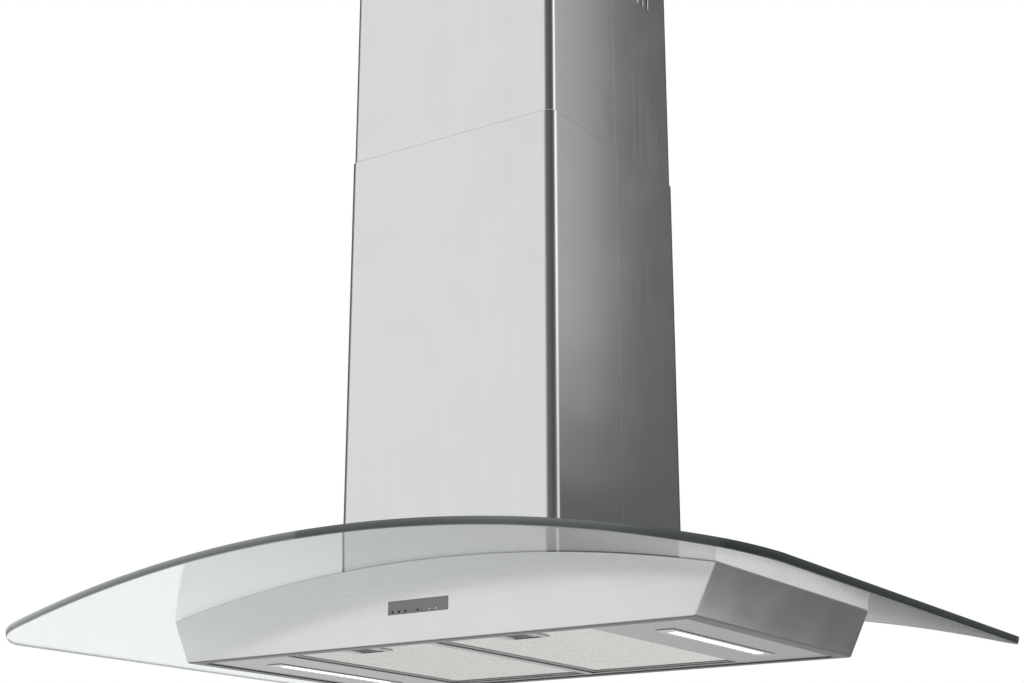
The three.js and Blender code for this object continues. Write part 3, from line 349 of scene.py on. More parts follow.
def plated(name, color, metallic=1.0, tarnished=0.82):
    """Small turned or pressed parts with a bright fine-grained skin, duller where tarnished."""
    look = Look(name, metallic=metallic)
    fine = look.noise(900.0, detail=4.0)
    tarnish = look.noise(60.0)
    look.color(look.blend(look.spread(tarnish, 0.35, 0.7), color, shade(color, tarnished)))
    look.roughness(look.spread(fine, 0.3, 0.7, 0.22, 0.36))
    look.bump(fine, 0.00001, 0.5)
    return look.mat


def moulded(name, color, roughness, grain=1400.0, depth=0.00003):
    """Moulded or painted skin with a fine even texture and slight clouding."""
    look = Look(name)
    fine = look.noise(grain, detail=2.0)
    clouds = look.noise(30.0)
    look.color(look.blend(look.spread(clouds, 0.3, 0.7), shade(color, 0.92), shade(color, 1.08)))
    look.roughness(look.spread(fine, 0.3, 0.7, roughness - 0.06, roughness + 0.06))
    look.bump(fine, depth, 0.6)
    return look.mat


def clear_glass(color):
    """Glass that lets lamps through, with faint wipe marks in its gloss."""
    look = Look("clear_glass_body")
    look.put("Transmission Weight", 1.0)
    look.put("IOR", 1.46)
    wipes = look.noise((9.0, 30.0, 9.0))
    look.color(look.blend(look.spread(wipes, 0.3, 0.7), shade(color, 0.995), color))
    look.roughness(look.spread(wipes, 0.5, 0.8, 0.0, 0.01))
    clear = look.node("ShaderNodeBsdfTransparent")
    clear.inputs["Color"].default_value = (*shade(color, 0.98), 1.0)
    shadow = look.node("ShaderNodeLightPath").outputs["Is Shadow Ray"]
    surface = look.mixed(shadow, look.shader.outputs[0], clear.outputs[0])
    look.link(surface, look.tree.nodes["Material Output"].inputs["Surface"])
    return look.mat


# Painted light and reflection on the polished glass edge from left to right: place in metres, then
# colour.
RIM_PAINTED_LIGHT = (
    (-0.4495, (0.9, 0.94, 0.93)), (-0.444, (0.64, 0.68, 0.665)), (-0.3, (0.42, 0.46, 0.445)),
    (-0.035, (0.27, 0.3, 0.29)), (-0.03, (0.125, 0.145, 0.14)), (0.1, (0.115, 0.135, 0.128)),
    (0.2, (0.17, 0.2, 0.19)), (0.3, (0.14, 0.17, 0.16)), (0.36, (0.06, 0.075, 0.07)),
    (0.45, (0.055, 0.07, 0.065)),
)
# Strength of that painted light from the underside of the glass to its top.
RIM_PAINTED_LIGHT_ACROSS = (
    (0.0, 1.9), (0.08, 1.4), (0.16, 0.7), (0.35, 0.82), (0.6, 1.1), (0.82, 1.65), (0.93, 1.8),
    (0.98, 0.9),
)


def glass_rim_painted_light():
    """Polished green edge of the glass, painted lighter and darker along and across it for the
    light running through it and the reflections on it.
    """
    look = Look("glass_edge_painted_light")
    patches = look.noise(6.0, detail=2.0)
    grind = look.noise((40.0, 40.0, 900.0))
    place = look.node("ShaderNodeSeparateXYZ")
    look.link(look.place, place.inputs[0])
    x, z = place.outputs["X"], place.outputs["Z"]
    along = look.ramp(look.spread(x, -0.5, 0.5), [(spot + 0.5, tone) for spot, tone in RIM_PAINTED_LIGHT])
    level = look.math("SUBTRACT", z, (ARCH_CENTRE - HOOD_HEIGHT) * MM)
    squares = look.math("ADD", look.math("POWER", x, 2.0), look.math("POWER", level, 2.0))
    depth = look.spread(look.math("SQRT", squares), ARCH_RADIUS * MM, GLASS_TOP_RADIUS * MM)
    # A ramp holds no more than 1, so it holds half the strength.
    across = look.ramp(depth, [(share, (strength / 2,) * 3) for share, strength in RIM_PAINTED_LIGHT_ACROSS])
    scaled = look.node("ShaderNodeVectorMath", operation="SCALE")
    look.link(along, scaled.inputs[0])
    look.link(look.math("MULTIPLY", across, 2.0), scaled.inputs["Scale"])
    shaded = look.spread(patches, 0.3, 0.7, 0.0, 0.15)
    look.color(look.blend(shaded, scaled.outputs[0], (0.03, 0.04, 0.037)))
    look.roughness(look.spread(grind, 0.3, 0.7, 0.08, 0.2))
    look.bump(grind, 0.00002, 0.4)
    look.put("IOR", 1.5)
    return look.mat


def lit_diffuser():
    """Opal diffuser with its light on."""
    look = Look("lit_diffuser")
    haze = look.noise(300.0)
    tone = look.blend(haze, (0.95, 0.955, 0.95), (1.0, 1.0, 0.995))
    look.color(tone)
    look.link(tone, look.shader.inputs["Emission Color"])
    look.put("Emission Strength", 1.6)
    look.roughness(look.spread(haze, 0.3, 0.7, 0.3, 0.4))
    return look.mat


def solder_mask():
    """Circuit board with darker bands where the tracks run."""
    look = Look("solder_mask")
    tracks = look.noise((90.0, 90.0, 700.0), detail=1.0)
    board = look.spread(tracks, 0.48, 0.52)
    look.color(look.blend(board, (0.02, 0.1, 0.045), (0.035, 0.16, 0.075)))
    look.roughness(look.spread(tracks, 0.4, 0.6, 0.32, 0.42))
    look.bump(tracks, 0.00004, 0.5)
    return look.mat


STEEL = (0.80, 0.805, 0.80)
PANEL_STEEL = (0.52, 0.525, 0.52)
UPRIGHT_GRAIN = (1500.0, 1500.0, 6.0)
LEVEL_GRAIN = (6.0, 1500.0, 1500.0)
PANEL_GRAIN = (8.0, 1300.0, 1300.0)
LOOKS = {
    "chimney": brushed("brushed_steel_upright", STEEL, UPRIGHT_GRAIN, 0.2, contrast=0.02),
    "body": brushed("brushed_steel_level", STEEL, LEVEL_GRAIN, 0.17, contrast=0.02),
    # Dark steel for the lip and the bend under the walls: painted shade along the body's lower
    # edge.
    "lip_painted_shade": brushed("lip_steel_painted_shade", (0.18, 0.183, 0.18), (900.0, 900.0, 900.0), 0.4, turn="Y"),
    "panel": brushed("panel_steel_satin", PANEL_STEEL, PANEL_GRAIN, 0.34, turn="Y"),
    "bezel": brushed("bezel_steel", (0.72, 0.725, 0.72), (900.0, 12.0, 900.0), 0.3, turn="X"),
    "zinc": zinc_sheet(),
    "plated": plated("bright_zinc", (0.62, 0.63, 0.64)),
    "mesh": plated("expanded_aluminium", (0.82, 0.82, 0.79), 0.5, 0.96),
    # A darker copy of the aluminium for the deeper mesh layers: painted shade.
    "mesh_painted_shade": plated("expanded_aluminium_painted_shade", (0.58, 0.58, 0.56), 0.6, 0.96),
    "glass": clear_glass((0.93, 0.975, 0.962)),
    # The glass edge's colour holds painted light and reflection.
    "rim": glass_rim_painted_light(),
    "gasket": moulded("foam_rubber", (0.27, 0.275, 0.272), 0.8, 500.0, 0.0002),
    "lens": lit_diffuser(),
    # The fascia's grey plastic also lines the latch pockets, where it serves as painted shade.
    "fascia": moulded("grey_fascia_skin", (0.3, 0.308, 0.304), 0.38),
    "dark_key": moulded("dark_key_skin", (0.018, 0.019, 0.02), 0.4),
    "pale_key": moulded("pale_key_skin", (0.85, 0.86, 0.85), 0.42),
    "board": solder_mask(),
    "motor": moulded("stove_enamel", (0.022, 0.023, 0.024), 0.42, 500.0),
    "black": moulded("black_moulding", (0.026, 0.027, 0.028), 0.5),
    "white": moulded("white_moulding", (0.76, 0.76, 0.73), 0.45),
}

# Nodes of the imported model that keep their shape, by how their names start.
CARRIED = {
    "motor": ("motor",),
    "zinc": (
        "ceiling_plate", "upper_angle", "lower_angle", "top_plate", "deck_plate", "motor_box",
        "impeller",
    ),
    "plated": ("cover_screw", "frame_bolt", "glass_screw"),
    "gasket": ("glass_gasket",),
    "board": ("control_board",),
    "black": ("duct_collar", "damper_flap", "terminal_box", "cable_gland"),
    "white": ("blower_scroll", "led_driver"),
    "lens": ("lamp_lens",),
}
for key, starts in CARRIED.items():
    for name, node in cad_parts.items():
        if name.startswith(starts):
            for slot in node.material_slots:
                slot.material = LOOKS[key]


# ---- mesh helpers ----
def row(point):
    return (point[0] * MM, point[1] * MM, (point[2] - HOOD_HEIGHT) * MM)


class Shape:
    """Vertices and faces of one piece; faces carry the number of their material."""

    def __init__(self):
        self.points, self.faces, self.tones = [], [], []

    def point(self, x, y, z):
        self.points.append((x, y, z))
        return len(self.points) - 1

    def loop(self, points):
        return [self.point(*p) for p in points]

    def face(self, corners, tone=0):
        self.faces.append(tuple(corners))
        self.tones.append(tone)

    def bridge(self, a, b, tone=0):
        """Quads between two closed loops of as many points."""
        for i in range(len(a)):
            j = (i + 1) % len(a)
            self.face((a[i], a[j], b[j], b[i]), tone)

    def skin(self, loops, tone=0):
        """Bridges each loop to the next."""
        for a, b in zip(loops, loops[1:]):
            self.bridge(a, b, tone)

    def box(self, low, high):
        (xa, ya, za), (xb, yb, zb) = low, high
        p = [self.point(x, y, z) for z in (za, zb) for y in (ya, yb) for x in (xa, xb)]
        for side in ("0231", "4576", "0154", "2673", "0462", "1375"):
            self.face([p[int(i)] for i in side])

    def join(self, other):
        base = len(self.points)
        self.points += other.points
        for corners, tone in zip(other.faces, other.tones):
            self.face([base + i for i in corners], tone)

    def shift(self, distance):
        """Moves everything along x."""
        self.points = [(x + distance, y, z) for x, y, z in self.points]

    def mesh(self, name, looks=()):
        mesh = bpy.data.meshes.new(name)
        mesh.from_pydata([row(p) for p in self.points], [], self.faces)
        for key in looks:
            mesh.materials.append(LOOKS[key])
        mesh.polygons.foreach_set("material_index", self.tones)
        work = bmesh.new()
        work.from_mesh(mesh)
        bmesh.ops.recalc_face_normals(work, faces=work.faces)
        work.to_mesh(mesh)
        work.free()
        return mesh

    def build(self, name, looks, body, replaced=(), sharp=SHARP, rounding=0.0):
        piece = add_object(name, self.mesh(name, looks))
        if rounding:
            round_edges(piece, rounding)
        finish_mesh(piece, sharp)
        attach(piece, body)
        if replaced:
            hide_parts(*replaced)
        return piece


def apply_modifiers(piece):
    """Bakes the piece's modifiers into its mesh."""
    bpy.context.view_layer.update()
    graph = bpy.context.evaluated_depsgraph_get()
    baked = bpy.data.meshes.new_from_object(piece.evaluated_get(graph))
    old, name = piece.data, piece.data.name
    piece.modifiers.clear()
    piece.data = baked
    bpy.data.meshes.remove(old)
    baked.name = name


def finish_mesh(piece, sharp):
    """Smooth shading that breaks at sharp edges and keeps large faces flat."""
    mesh = piece.data
    mesh.polygons.foreach_set("use_smooth", [True] * len(mesh.polygons))
    mesh.set_sharp_from_angle(angle=math.radians(sharp))
    weigh = piece.modifiers.new("weigh", "WEIGHTED_NORMAL")
    weigh.keep_sharp = True
    apply_modifiers(piece)
    piece.data.update()


def round_edges(piece, width):
    bevel = piece.modifiers.new("round", "BEVEL")
    bevel.width = width * MM
    bevel.segments = 2
    bevel.limit_method = "ANGLE"
    bevel.angle_limit = math.radians(30)
    apply_modifiers(piece)


def cut_out(piece, cutters, sharp=SHARP):
    """Subtracts closed shapes from a piece."""
    for cutter in cutters:
        mesh = cutter.mesh("cutter")
        tool = add_object("cutter", mesh)
        boolean = piece.modifiers.new("cut", "BOOLEAN")
        boolean.operation = "DIFFERENCE"
        boolean.solver = "EXACT"
        boolean.object = tool
        apply_modifiers(piece)
        bpy.data.objects.remove(tool)
        bpy.data.meshes.remove(mesh)
    finish_mesh(piece, sharp)


def bar(axis, outline, start, end):
    """Closed bar of an outline of (u, v) points, along the x, y or z axis."""
    shape = Shape()
    spot = {
        "x": lambda u, v, w: (w, u, v),
        "y": lambda u, v, w: (u, w, v),
        "z": lambda u, v, w: (u, v, w),
    }[axis]
    low, high = (shape.loop([spot(u, v, w) for u, v in outline]) for w in (start, end))
    shape.bridge(low, high)
    shape.face(low[::-1])
    shape.face(high)
    return shape


def arc_points(u, v, radius, start, turn, count):
    angles = [math.radians(start + turn * i / count) for i in range(count + 1)]
    return [(u + radius * math.cos(a), v + radius * math.sin(a)) for a in angles]


def ring_points(u, v, radius, sides):
    return arc_points(u, v, radius, 0, 360, sides)[:-1]


def steps(start, end, count):
    return [start + (end - start) * i / count for i in range(count + 1)]


def frame_outline(half_x, half_y, radius, corner_steps):
    """Anticlockwise rounded rectangle, from the right end of its front edge."""
    points = []
    inner_x, inner_y = half_x - radius, half_y - radius
    for sx, sy, start in ((1, -1, -90), (1, 1, 0), (-1, 1, 90), (-1, -1, 180)):
        points += arc_points(sx * inner_x, sy * inner_y, radius, start, 90, corner_steps)
    return points


# ---- glass ----
def curved_glass():
    """Arched pane with round corners, a ground edge, a cut-out under the chimney and four holes."""
    shape = Shape()
    upper_edge = [(inset, GLASS_THICKNESS - height) for inset, height in GLASS_EDGE[::-1]]
    profile = [*GLASS_EDGE, *upper_edge]
    inner_rows = (-GLASS_ROW, -CUTOUT_HALF, CUTOUT_HALF, GLASS_ROW)
    straight = GLASS_WIDTH / 2 - GLASS_CORNER
    level = [*steps(-straight, -CUTOUT_HALF, ARCH_STEPS),
             *steps(-CUTOUT_HALF, CUTOUT_HALF, CUTOUT_STEPS)[1:],
             *steps(CUTOUT_HALF, straight, ARCH_STEPS)[1:]]

    def bent(x, y, height):
        """Point on the arch; x is measured on its upper face."""
        angle = math.asin(x / GLASS_TOP_RADIUS)
        radius = ARCH_RADIUS + height
        return shape.point(radius * math.sin(angle), y, ARCH_CENTRE + radius * math.cos(angle))

    def stations(inset):
        """Half outline of (x, y), from the left tip to the right one."""
        radius = GLASS_CORNER - inset
        y = GLASS_DEPTH / 2 - inset
        right = arc_points(straight, y - radius, radius, 90, -90, CORNER_STEPS)[1:]
        return [(-p[0], p[1]) for p in right[::-1]] + [(x, y) for x in level] + right

    rings = []
    for inset, height in profile:
        places = stations(inset)
        front = [bent(x, -y, height) for x, y in places]
        right = [bent(places[-1][0], y, height) for y in inner_rows]
        rear = [bent(x, y, height) for x, y in places]
        left = [bent(places[0][0], y, height) for y in inner_rows]
        rings.append((front, right, rear, left))
    loops = [front + right + rear[::-1] + left[::-1] for front, right, rear, left in rings]
    shape.skin(loops, tone=1)

    near, far = 2, 3  # where the cut-out's edges are in a column of points from front to rear
    sides = []
    for number in (0, -1):
        front, right, rear, left = rings[number]
        inset, height = profile[number]
        places = stations(inset)
        inner = [[bent(x, y, height) for y in inner_rows] for x, _ in places[1:-1]]
        columns = [[a, *b, c] for a, b, c in zip(front, [left, *inner, right], rear)]
        for i, (a, b) in enumerate(zip(columns, columns[1:])):
            middle = (places[i][0] + places[i + 1][0]) / 2
            for j in range(len(a) - 1):
                if j != near or abs(middle) > CUTOUT_HALF:
                    shape.face((a[j], b[j], b[j + 1], a[j + 1]))
        sides.append(columns)

    low, high = sides
    inside = [i for i, (x, _) in enumerate(places) if abs(x) <= CUTOUT_HALF + 1e-6]
    first, last = inside[0], inside[-1]
    for j in (near, far):
        for i in range(first, last):
            shape.face((low[i][j], low[i + 1][j], high[i + 1][j], high[i][j]), 1)
    for i in (first, last):
        shape.face((low[i][near], low[i][far], high[i][far], high[i][near]), 1)
    piece = shape.build(
        "curved_glass", ["glass", "rim"], "canopy", ["glass_canopy"], GLASS_SHARP)
    cut_out(piece, [
        bar("z", ring_points(x, y, GLASS_HOLE_RADIUS, HOLE_SIDES), *GLASS_HOLE_SPAN)
        for x in (-GLASS_SCREW_X, GLASS_SCREW_X) for y in (-GLASS_SCREW_Y, GLASS_SCREW_Y)
    ], GLASS_SHARP)


# ---- canopy body ----
def body_loop(inset, height, share, corner, rise=0.0):
    """Points round the wall: share 0 is at the height, share 1 at the wall's top, plus a rise."""
    level_steps, side_steps, corner_steps = 64, 8, 4
    slant = math.hypot(1, BODY_SLOPE)
    widening = BODY_SLOPE * rise / (1 + BODY_SLOPE * TOP_ARCH_TILT)
    bottom_half = BODY_BOTTOM_WIDTH / 2 + BODY_SLOPE * height - inset * slant
    top_half = BODY_TOP_WIDTH / 2 - inset * slant + widening
    points = []

    def place(u, v, wide, deep):
        """u and v are -1 to 1 across width and depth, wide and deep are inside the corner."""
        low = u * (bottom_half - corner) + wide
        high = u * (top_half - corner) + wide
        y = v * (BODY_DEPTH / 2 - inset - corner) + deep
        top = arch(WALL_TOP_RADIUS + rise, high)
        return low + (high - low) * share, y, height + (top - height) * share

    for start, (u, v) in zip((-90, 0, 90, 180), ((1, -1), (1, 1), (-1, 1), (-1, -1))):
        if u == -v:
            points += [place(t, v, 0.0, v * corner) for t in steps(-u, u, level_steps)]
        else:
            points += [place(u, t, u * corner, 0.0) for t in steps(-v, v, side_steps)]
        for x, y in arc_points(0.0, 0.0, corner, start, 90, corner_steps)[1:-1]:
            points.append(place(u, v, x, y))
    return points


def body_shell():
    """Folded tray with its lip, and the rim round the gasket, as one closed skin; the lip and half
    the bend are painted dark as shade.
    """
    shape = Shape()
    outer, inner = BODY_BEND, BODY_BEND - BODY_SHEET
    wall = (1.0, 0.66, 0.33)
    quarter = [math.radians(90 * i / 4) for i in range(5)]
    places = [(0.0, outer, share, BODY_FOLD) for share in wall]
    places += [
        (outer * (1 - math.cos(a)), outer * (1 - math.sin(a)), 0.0, BODY_FOLD) for a in quarter
    ]
    places += [(LIP_WIDTH, level, 0.0, BODY_FOLD) for level in (0.0, BODY_SHEET)]
    places += [
        (outer - inner * math.cos(a), outer - inner * math.sin(a), 0.0, BODY_INNER_FOLD)
        for a in quarter[::-1]
    ]
    places += [(BODY_SHEET, outer, share, BODY_INNER_FOLD) for share in wall[::-1]]
    rim = ((GASKET_COVER, 0.0), (GASKET_COVER, GASKET_COVER_RISE), (0.0, GASKET_COVER_RISE))
    places += [(inset, outer, 1.0, BODY_FOLD - inset, rise) for inset, rise in rim]
    loops = [shape.loop(body_loop(*place)) for place in places]

    lip_painted_shade = range(4, 9)  # rows from the middle of the bend to the inner end of the lip, painted dark as shade
    end = BODY_BOTTOM_WIDTH / 2 - BODY_END_PAINTED_SHADE_BAND
    for number, (a, b) in enumerate(zip(loops, loops[1:])):
        start = len(shape.faces)
        shape.bridge(a, b, 1 if number in lip_painted_shade else 0)
        # Near the ends, one more row of the bend gets the painted shade.
        if number == lip_painted_shade[0] - 1:
            for i in range(start, len(shape.faces)):
                if all(abs(shape.points[corner][0]) > end for corner in shape.faces[i]):
                    shape.tones[i] = 1
    shape.bridge(loops[-1], loops[0])
    piece = shape.build("body_shell", ["body", "lip_painted_shade"], "canopy", ["canopy_shell"])
    half_x, half_z = CONTROL_WIDTH / 2 + SEAT_GAP, CONTROL_HEIGHT / 2 + SEAT_GAP
    front, behind = -BODY_DEPTH / 2 - 2, -BODY_DEPTH / 2 + 3
    opening = Shape()
    opening.box((-half_x, front, CONTROL_RISE - half_z), (half_x, behind, CONTROL_RISE + half_z))
    cut_out(piece, [opening])


# ---- chimney ----
def half_section(width, depth, corner, side):
    """Outside and inside of one half shell, from its left to its right seam, as (x, y) pairs."""
    gap = SEAT_GAP / 2
    soft = SEAM_ROUNDING

    def track(inset, radius, edge):
        points = [(-(width / 2 - inset), side * edge)]
        for sx, start in ((-1, 180), (1, 270)):
            centre = (sx * (width / 2 - corner), -(depth / 2 - corner))
            points += [(x, -side * y) for x, y in arc_points(*centre, radius, start, 90, 12)]
        points.append((width / 2 - inset, side * edge))
        return points

    bend = arc_points(width / 2 - soft, -gap - soft, soft, 90, -60, 2)
    bend = [(x, -side * y) for x, y in bend]
    outside = [(-x, y) for x, y in bend] + track(0.0, corner, gap + soft) + bend[::-1]
    inside = track(COVER_SHEET, corner - COVER_SHEET, gap)
    return outside, inside


def close_ring(shape, ring, outside_count, inside_count):
    """Fills the sheet edge between the outside and the inside of a section."""
    outside = ring[:outside_count]
    inside = ring[outside_count:][::-1]
    extra = (outside_count - inside_count) // 2
    core = outside[extra:outside_count - extra]
    for i in range(inside_count - 1):
        shape.face((core[i], core[i + 1], inside[i + 1], inside[i]))
    shape.face((*outside[:extra + 1], inside[0]))
    shape.face((*outside[outside_count - extra - 1:], inside[-1]))


def cover(part, end, width, depth, corner, side, bottom, top):
    """Half shell from a bottom height, given at each x, to a rounded top edge."""
    shape = Shape()
    outside, inside = half_section(width, depth, corner, side)
    crest = top - CREST_HEIGHT
    rings = []
    for share in (0.0, 0.25, 0.5, 0.75):
        rings.append(shape.loop([
            (x, y, bottom(x) + (top - bottom(x)) * share) for x, y in outside + inside[::-1]
        ]))
    for fall, lift in ((0.0, 0.0), *CREST):
        bent_outside, _ = half_section(width - 2 * fall, depth - 2 * fall, corner - fall, side)
        rings.append(shape.loop([(x, y, crest + lift) for x, y in bent_outside + inside[::-1]]))
    shape.skin(rings)
    for ring in (rings[0], rings[-1]):
        close_ring(shape, ring, len(outside), len(inside))
    body = "canopy" if part == "lower" else "ceiling_mount"
    return shape.build(f"chimney_{part}_{end}", ["chimney"], body,
                       [f"{part}_cover_{end}"], SHEET_SHARP)


def seam_strip(name, body, width, low, high, tongue_top=None):
    """Strips behind both seams, joined to the rear half, and a thin tongue above them."""
    shape = Shape()
    wall = width / 2 - COVER_SHEET

    def strip(side, inner, outer, near, far, bottom, top):
        a, b = sorted((side * inner, side * outer))
        shape.box((a, near, bottom), (b, far, top))

    for side in (-1, 1):
        if tongue_top:
            strip(side, wall - TONGUE_SHEET - TONGUE_CLEARANCE, wall - TONGUE_CLEARANCE,
                  -TONGUE_LAP, TONGUE_LAP, high + TONGUE_START, tongue_top)
        strip(side, wall - SEAT_GAP - COVER_SHEET, wall - SEAT_GAP,
              -COVER_LAP, COVER_LAP, low, high)
        strip(side, wall - SEAT_GAP - COVER_SHEET / 2, wall + COVER_SHEET / 2,
              SEAT_GAP + LAP_WEB_GAP, COVER_LAP, low, high)
    shape.build(name, ["chimney"], body)


def chimney():
    def foot(x):
        return arch(GLASS_TOP_RADIUS + SEAT_GAP, x)

    upper_width, upper_depth = CHIMNEY_WIDTH - 2 * COVER_STEP, CHIMNEY_DEPTH - 2 * COVER_STEP
    ceiling = HOOD_HEIGHT - CEILING_SHEET
    radius = VENT_WIDTH / 2
    for side, end in ((-1, "front"), (1, "rear")):
        cover("lower", end, CHIMNEY_WIDTH, CHIMNEY_DEPTH, CHIMNEY_CORNER, side,
              foot, LOWER_COVER_TOP)
        upper = cover("upper", end, upper_width, upper_depth, CHIMNEY_CORNER - COVER_STEP, side,
                      lambda x: UPPER_COVER_BOTTOM, ceiling - SEAT_GAP)
        outlines = []
        for i in range(VENT_COUNT):
            y = side * (VENT_FROM_SEAM - i * VENT_PITCH)
            upper_end = arc_points(y, VENT_BOTTOM + VENT_HEIGHT - radius, radius, 0, 180, 8)
            outlines.append(upper_end + arc_points(y, VENT_BOTTOM + radius, radius, 180, 180, 8))
        screw = (side * COVER_SCREW_OFFSET, ceiling - COVER_SCREW_DROP)
        outlines.append(ring_points(*screw, COVER_HOLE_RADIUS, POST_SIDES))
        cutters = [bar("x", outline, -CHIMNEY_WIDTH, CHIMNEY_WIDTH) for outline in outlines]
        cut_out(upper, cutters, SHEET_SHARP)
    start = foot(CHIMNEY_WIDTH / 2 - 2 * COVER_SHEET - SEAT_GAP) + 1
    seam_strip("seam_strips_lower", "canopy", CHIMNEY_WIDTH, start, start + LOWER_LAP_HEIGHT,
               LOWER_COVER_TOP - CREST_HEIGHT)
    seam_strip("seam_strips_upper", "ceiling_mount", upper_width, UPPER_COVER_BOTTOM,
               ceiling - CEILING_FLANGE_ROOM)


# ---- underside ----
def pierced_sheet(shape, x_lines, y_lines, holes, low, high):
    """Flat sheet on a grid of lines, without the cells whose middle lies in a hole."""
    def is_open(i, j):
        if not (0 <= i < len(x_lines) - 1 and 0 <= j < len(y_lines) - 1):
            return True
        x, y = (x_lines[i] + x_lines[i + 1]) / 2, (y_lines[j] + y_lines[j + 1]) / 2
        return any(xa < x < xb and ya < y < yb for xa, xb, ya, yb in holes)

    made = {}

    def corner(i, j, level):
        key = (i, j, level)
        if key not in made:
            made[key] = shape.point(x_lines[i], y_lines[j], level)
        return made[key]

    for i in range(len(x_lines) - 1):
        for j in range(len(y_lines) - 1):
            if is_open(i, j):
                continue
            around = [(i, j), (i + 1, j), (i + 1, j + 1), (i, j + 1)]
            shape.face([corner(*spot, high) for spot in around])
            shape.face([corner(*spot, low) for spot in around[::-1]])
            beside = ((i, j - 1), (i + 1, j), (i, j + 1), (i - 1, j))
            for neighbour, a, b in zip(beside, around, around[1:] + around[:1]):
                if is_open(*neighbour):
                    around_edge = ((*a, low), (*b, low), (*b, high), (*a, high))
                    shape.face([corner(*spot) for spot in around_edge])


def underside():
    shape = Shape()
    half_x, half_y = BODY_BOTTOM_WIDTH / 2 - PANEL_EDGE_GAP, BODY_DEPTH / 2 - PANEL_EDGE_GAP
    lamp_room = SEAT_GAP + LAMP_WALL + SEAT_GAP
    filter_x, filter_y = FILTER_WIDTH / 2 + FILTER_GAP, FILTER_DEPTH / 2 + FILTER_GAP
    lamp_x, lamp_y = LENS_WIDTH / 2 + lamp_room, LENS_LENGTH / 2 + lamp_room
    holes = []
    for side in (-1, 1):
        for place, x, y in ((FILTER_X, filter_x, filter_y), (LAMP_X, lamp_x, lamp_y)):
            holes.append((side * place - x, side * place + x, -y, y))
    xs = sorted([-half_x, half_x, *(x for hole in holes for x in hole[:2])])
    ys = sorted([-half_y, half_y, -filter_y, filter_y, -lamp_y, lamp_y])
    pierced_sheet(shape, xs, ys, holes, PANEL_BOTTOM, PANEL_TOP)
    shape.build("underside_sheet", ["panel"], "canopy", ["underside_panel"])


def swept_border(shape, half_x, half_y, section, corner):
    """Sweeps a closed section of (inset, height) points round a rectangle."""
    loops = []
    for inset, height in section:
        outline = frame_outline(half_x - inset, half_y - inset, max(corner - inset, 0.4), 3)
        loops.append(shape.loop([(x, y, height) for x, y in outline]))
    shape.skin([*loops, loops[0]])


def expanded_skin(shape, half_x, half_y, height, pitch_x, pitch_y, strand, thick, tone, keep_out):
    """Slit and stretched sheet: rhombic holes in staggered rows, with tilted strands between."""
    columns = int(2 * half_x / pitch_x)
    rows = int(4 * half_y / pitch_y)
    start_x = -columns * pitch_x / 2
    start_y = -rows * pitch_y / 4
    share_x, share_y = 1 - 2 * strand / pitch_x, 1 - 2 * strand / pitch_y
    tilt = (0.0, -STRAND_TILT, 0.0, STRAND_TILT)
    knots = {}
    edges = {}

    def knot(x, y, level):
        key = (round(x * 100), round(y * 100), level)
        if key not in knots:
            knots[key] = shape.point(x, y, height + level * thick)
        return knots[key]

    for j in range(rows - 1):
        odd = j % 2
        for i in range(columns - odd):
            cx = start_x + (i + 0.5 + 0.5 * odd) * pitch_x
            cy = start_y + (j + 1) * pitch_y / 2
            if keep_out(cx, cy):
                continue
            outer = [(cx - pitch_x / 2, cy), (cx, cy - pitch_y / 2),
                     (cx + pitch_x / 2, cy), (cx, cy + pitch_y / 2)]
            inner = [(cx + (x - cx) * share_x, cy + (y - cy) * share_y) for x, y in outer]
            top = [knot(x, y, 1) for x, y in outer]
            base = [knot(x, y, 0) for x, y in outer]
            rim = shape.loop([(x, y, height + thick + up) for (x, y), up in zip(inner, tilt)])
            low = shape.loop([(x, y, height + up) for (x, y), up in zip(inner, tilt)])
            shape.skin([top, rim, low, base], tone)
            for k in range(4):
                corners = (top[k], top[(k + 1) % 4], base[(k + 1) % 4], base[k])
                key = frozenset(corners[:2])
                edges[key] = None if key in edges else corners
    # Only the edges that one cell has are the sheet's own, and get a side face.
    for corners in edges.values():
        if corners:
            shape.face(corners, tone)


FILTER_TOP = FILTER_BOTTOM + FILTER_THICKNESS
FILTER_FRONT = -FILTER_DEPTH / 2
CUP_BACK = FILTER_FRONT + LATCH_CUP_DEPTH


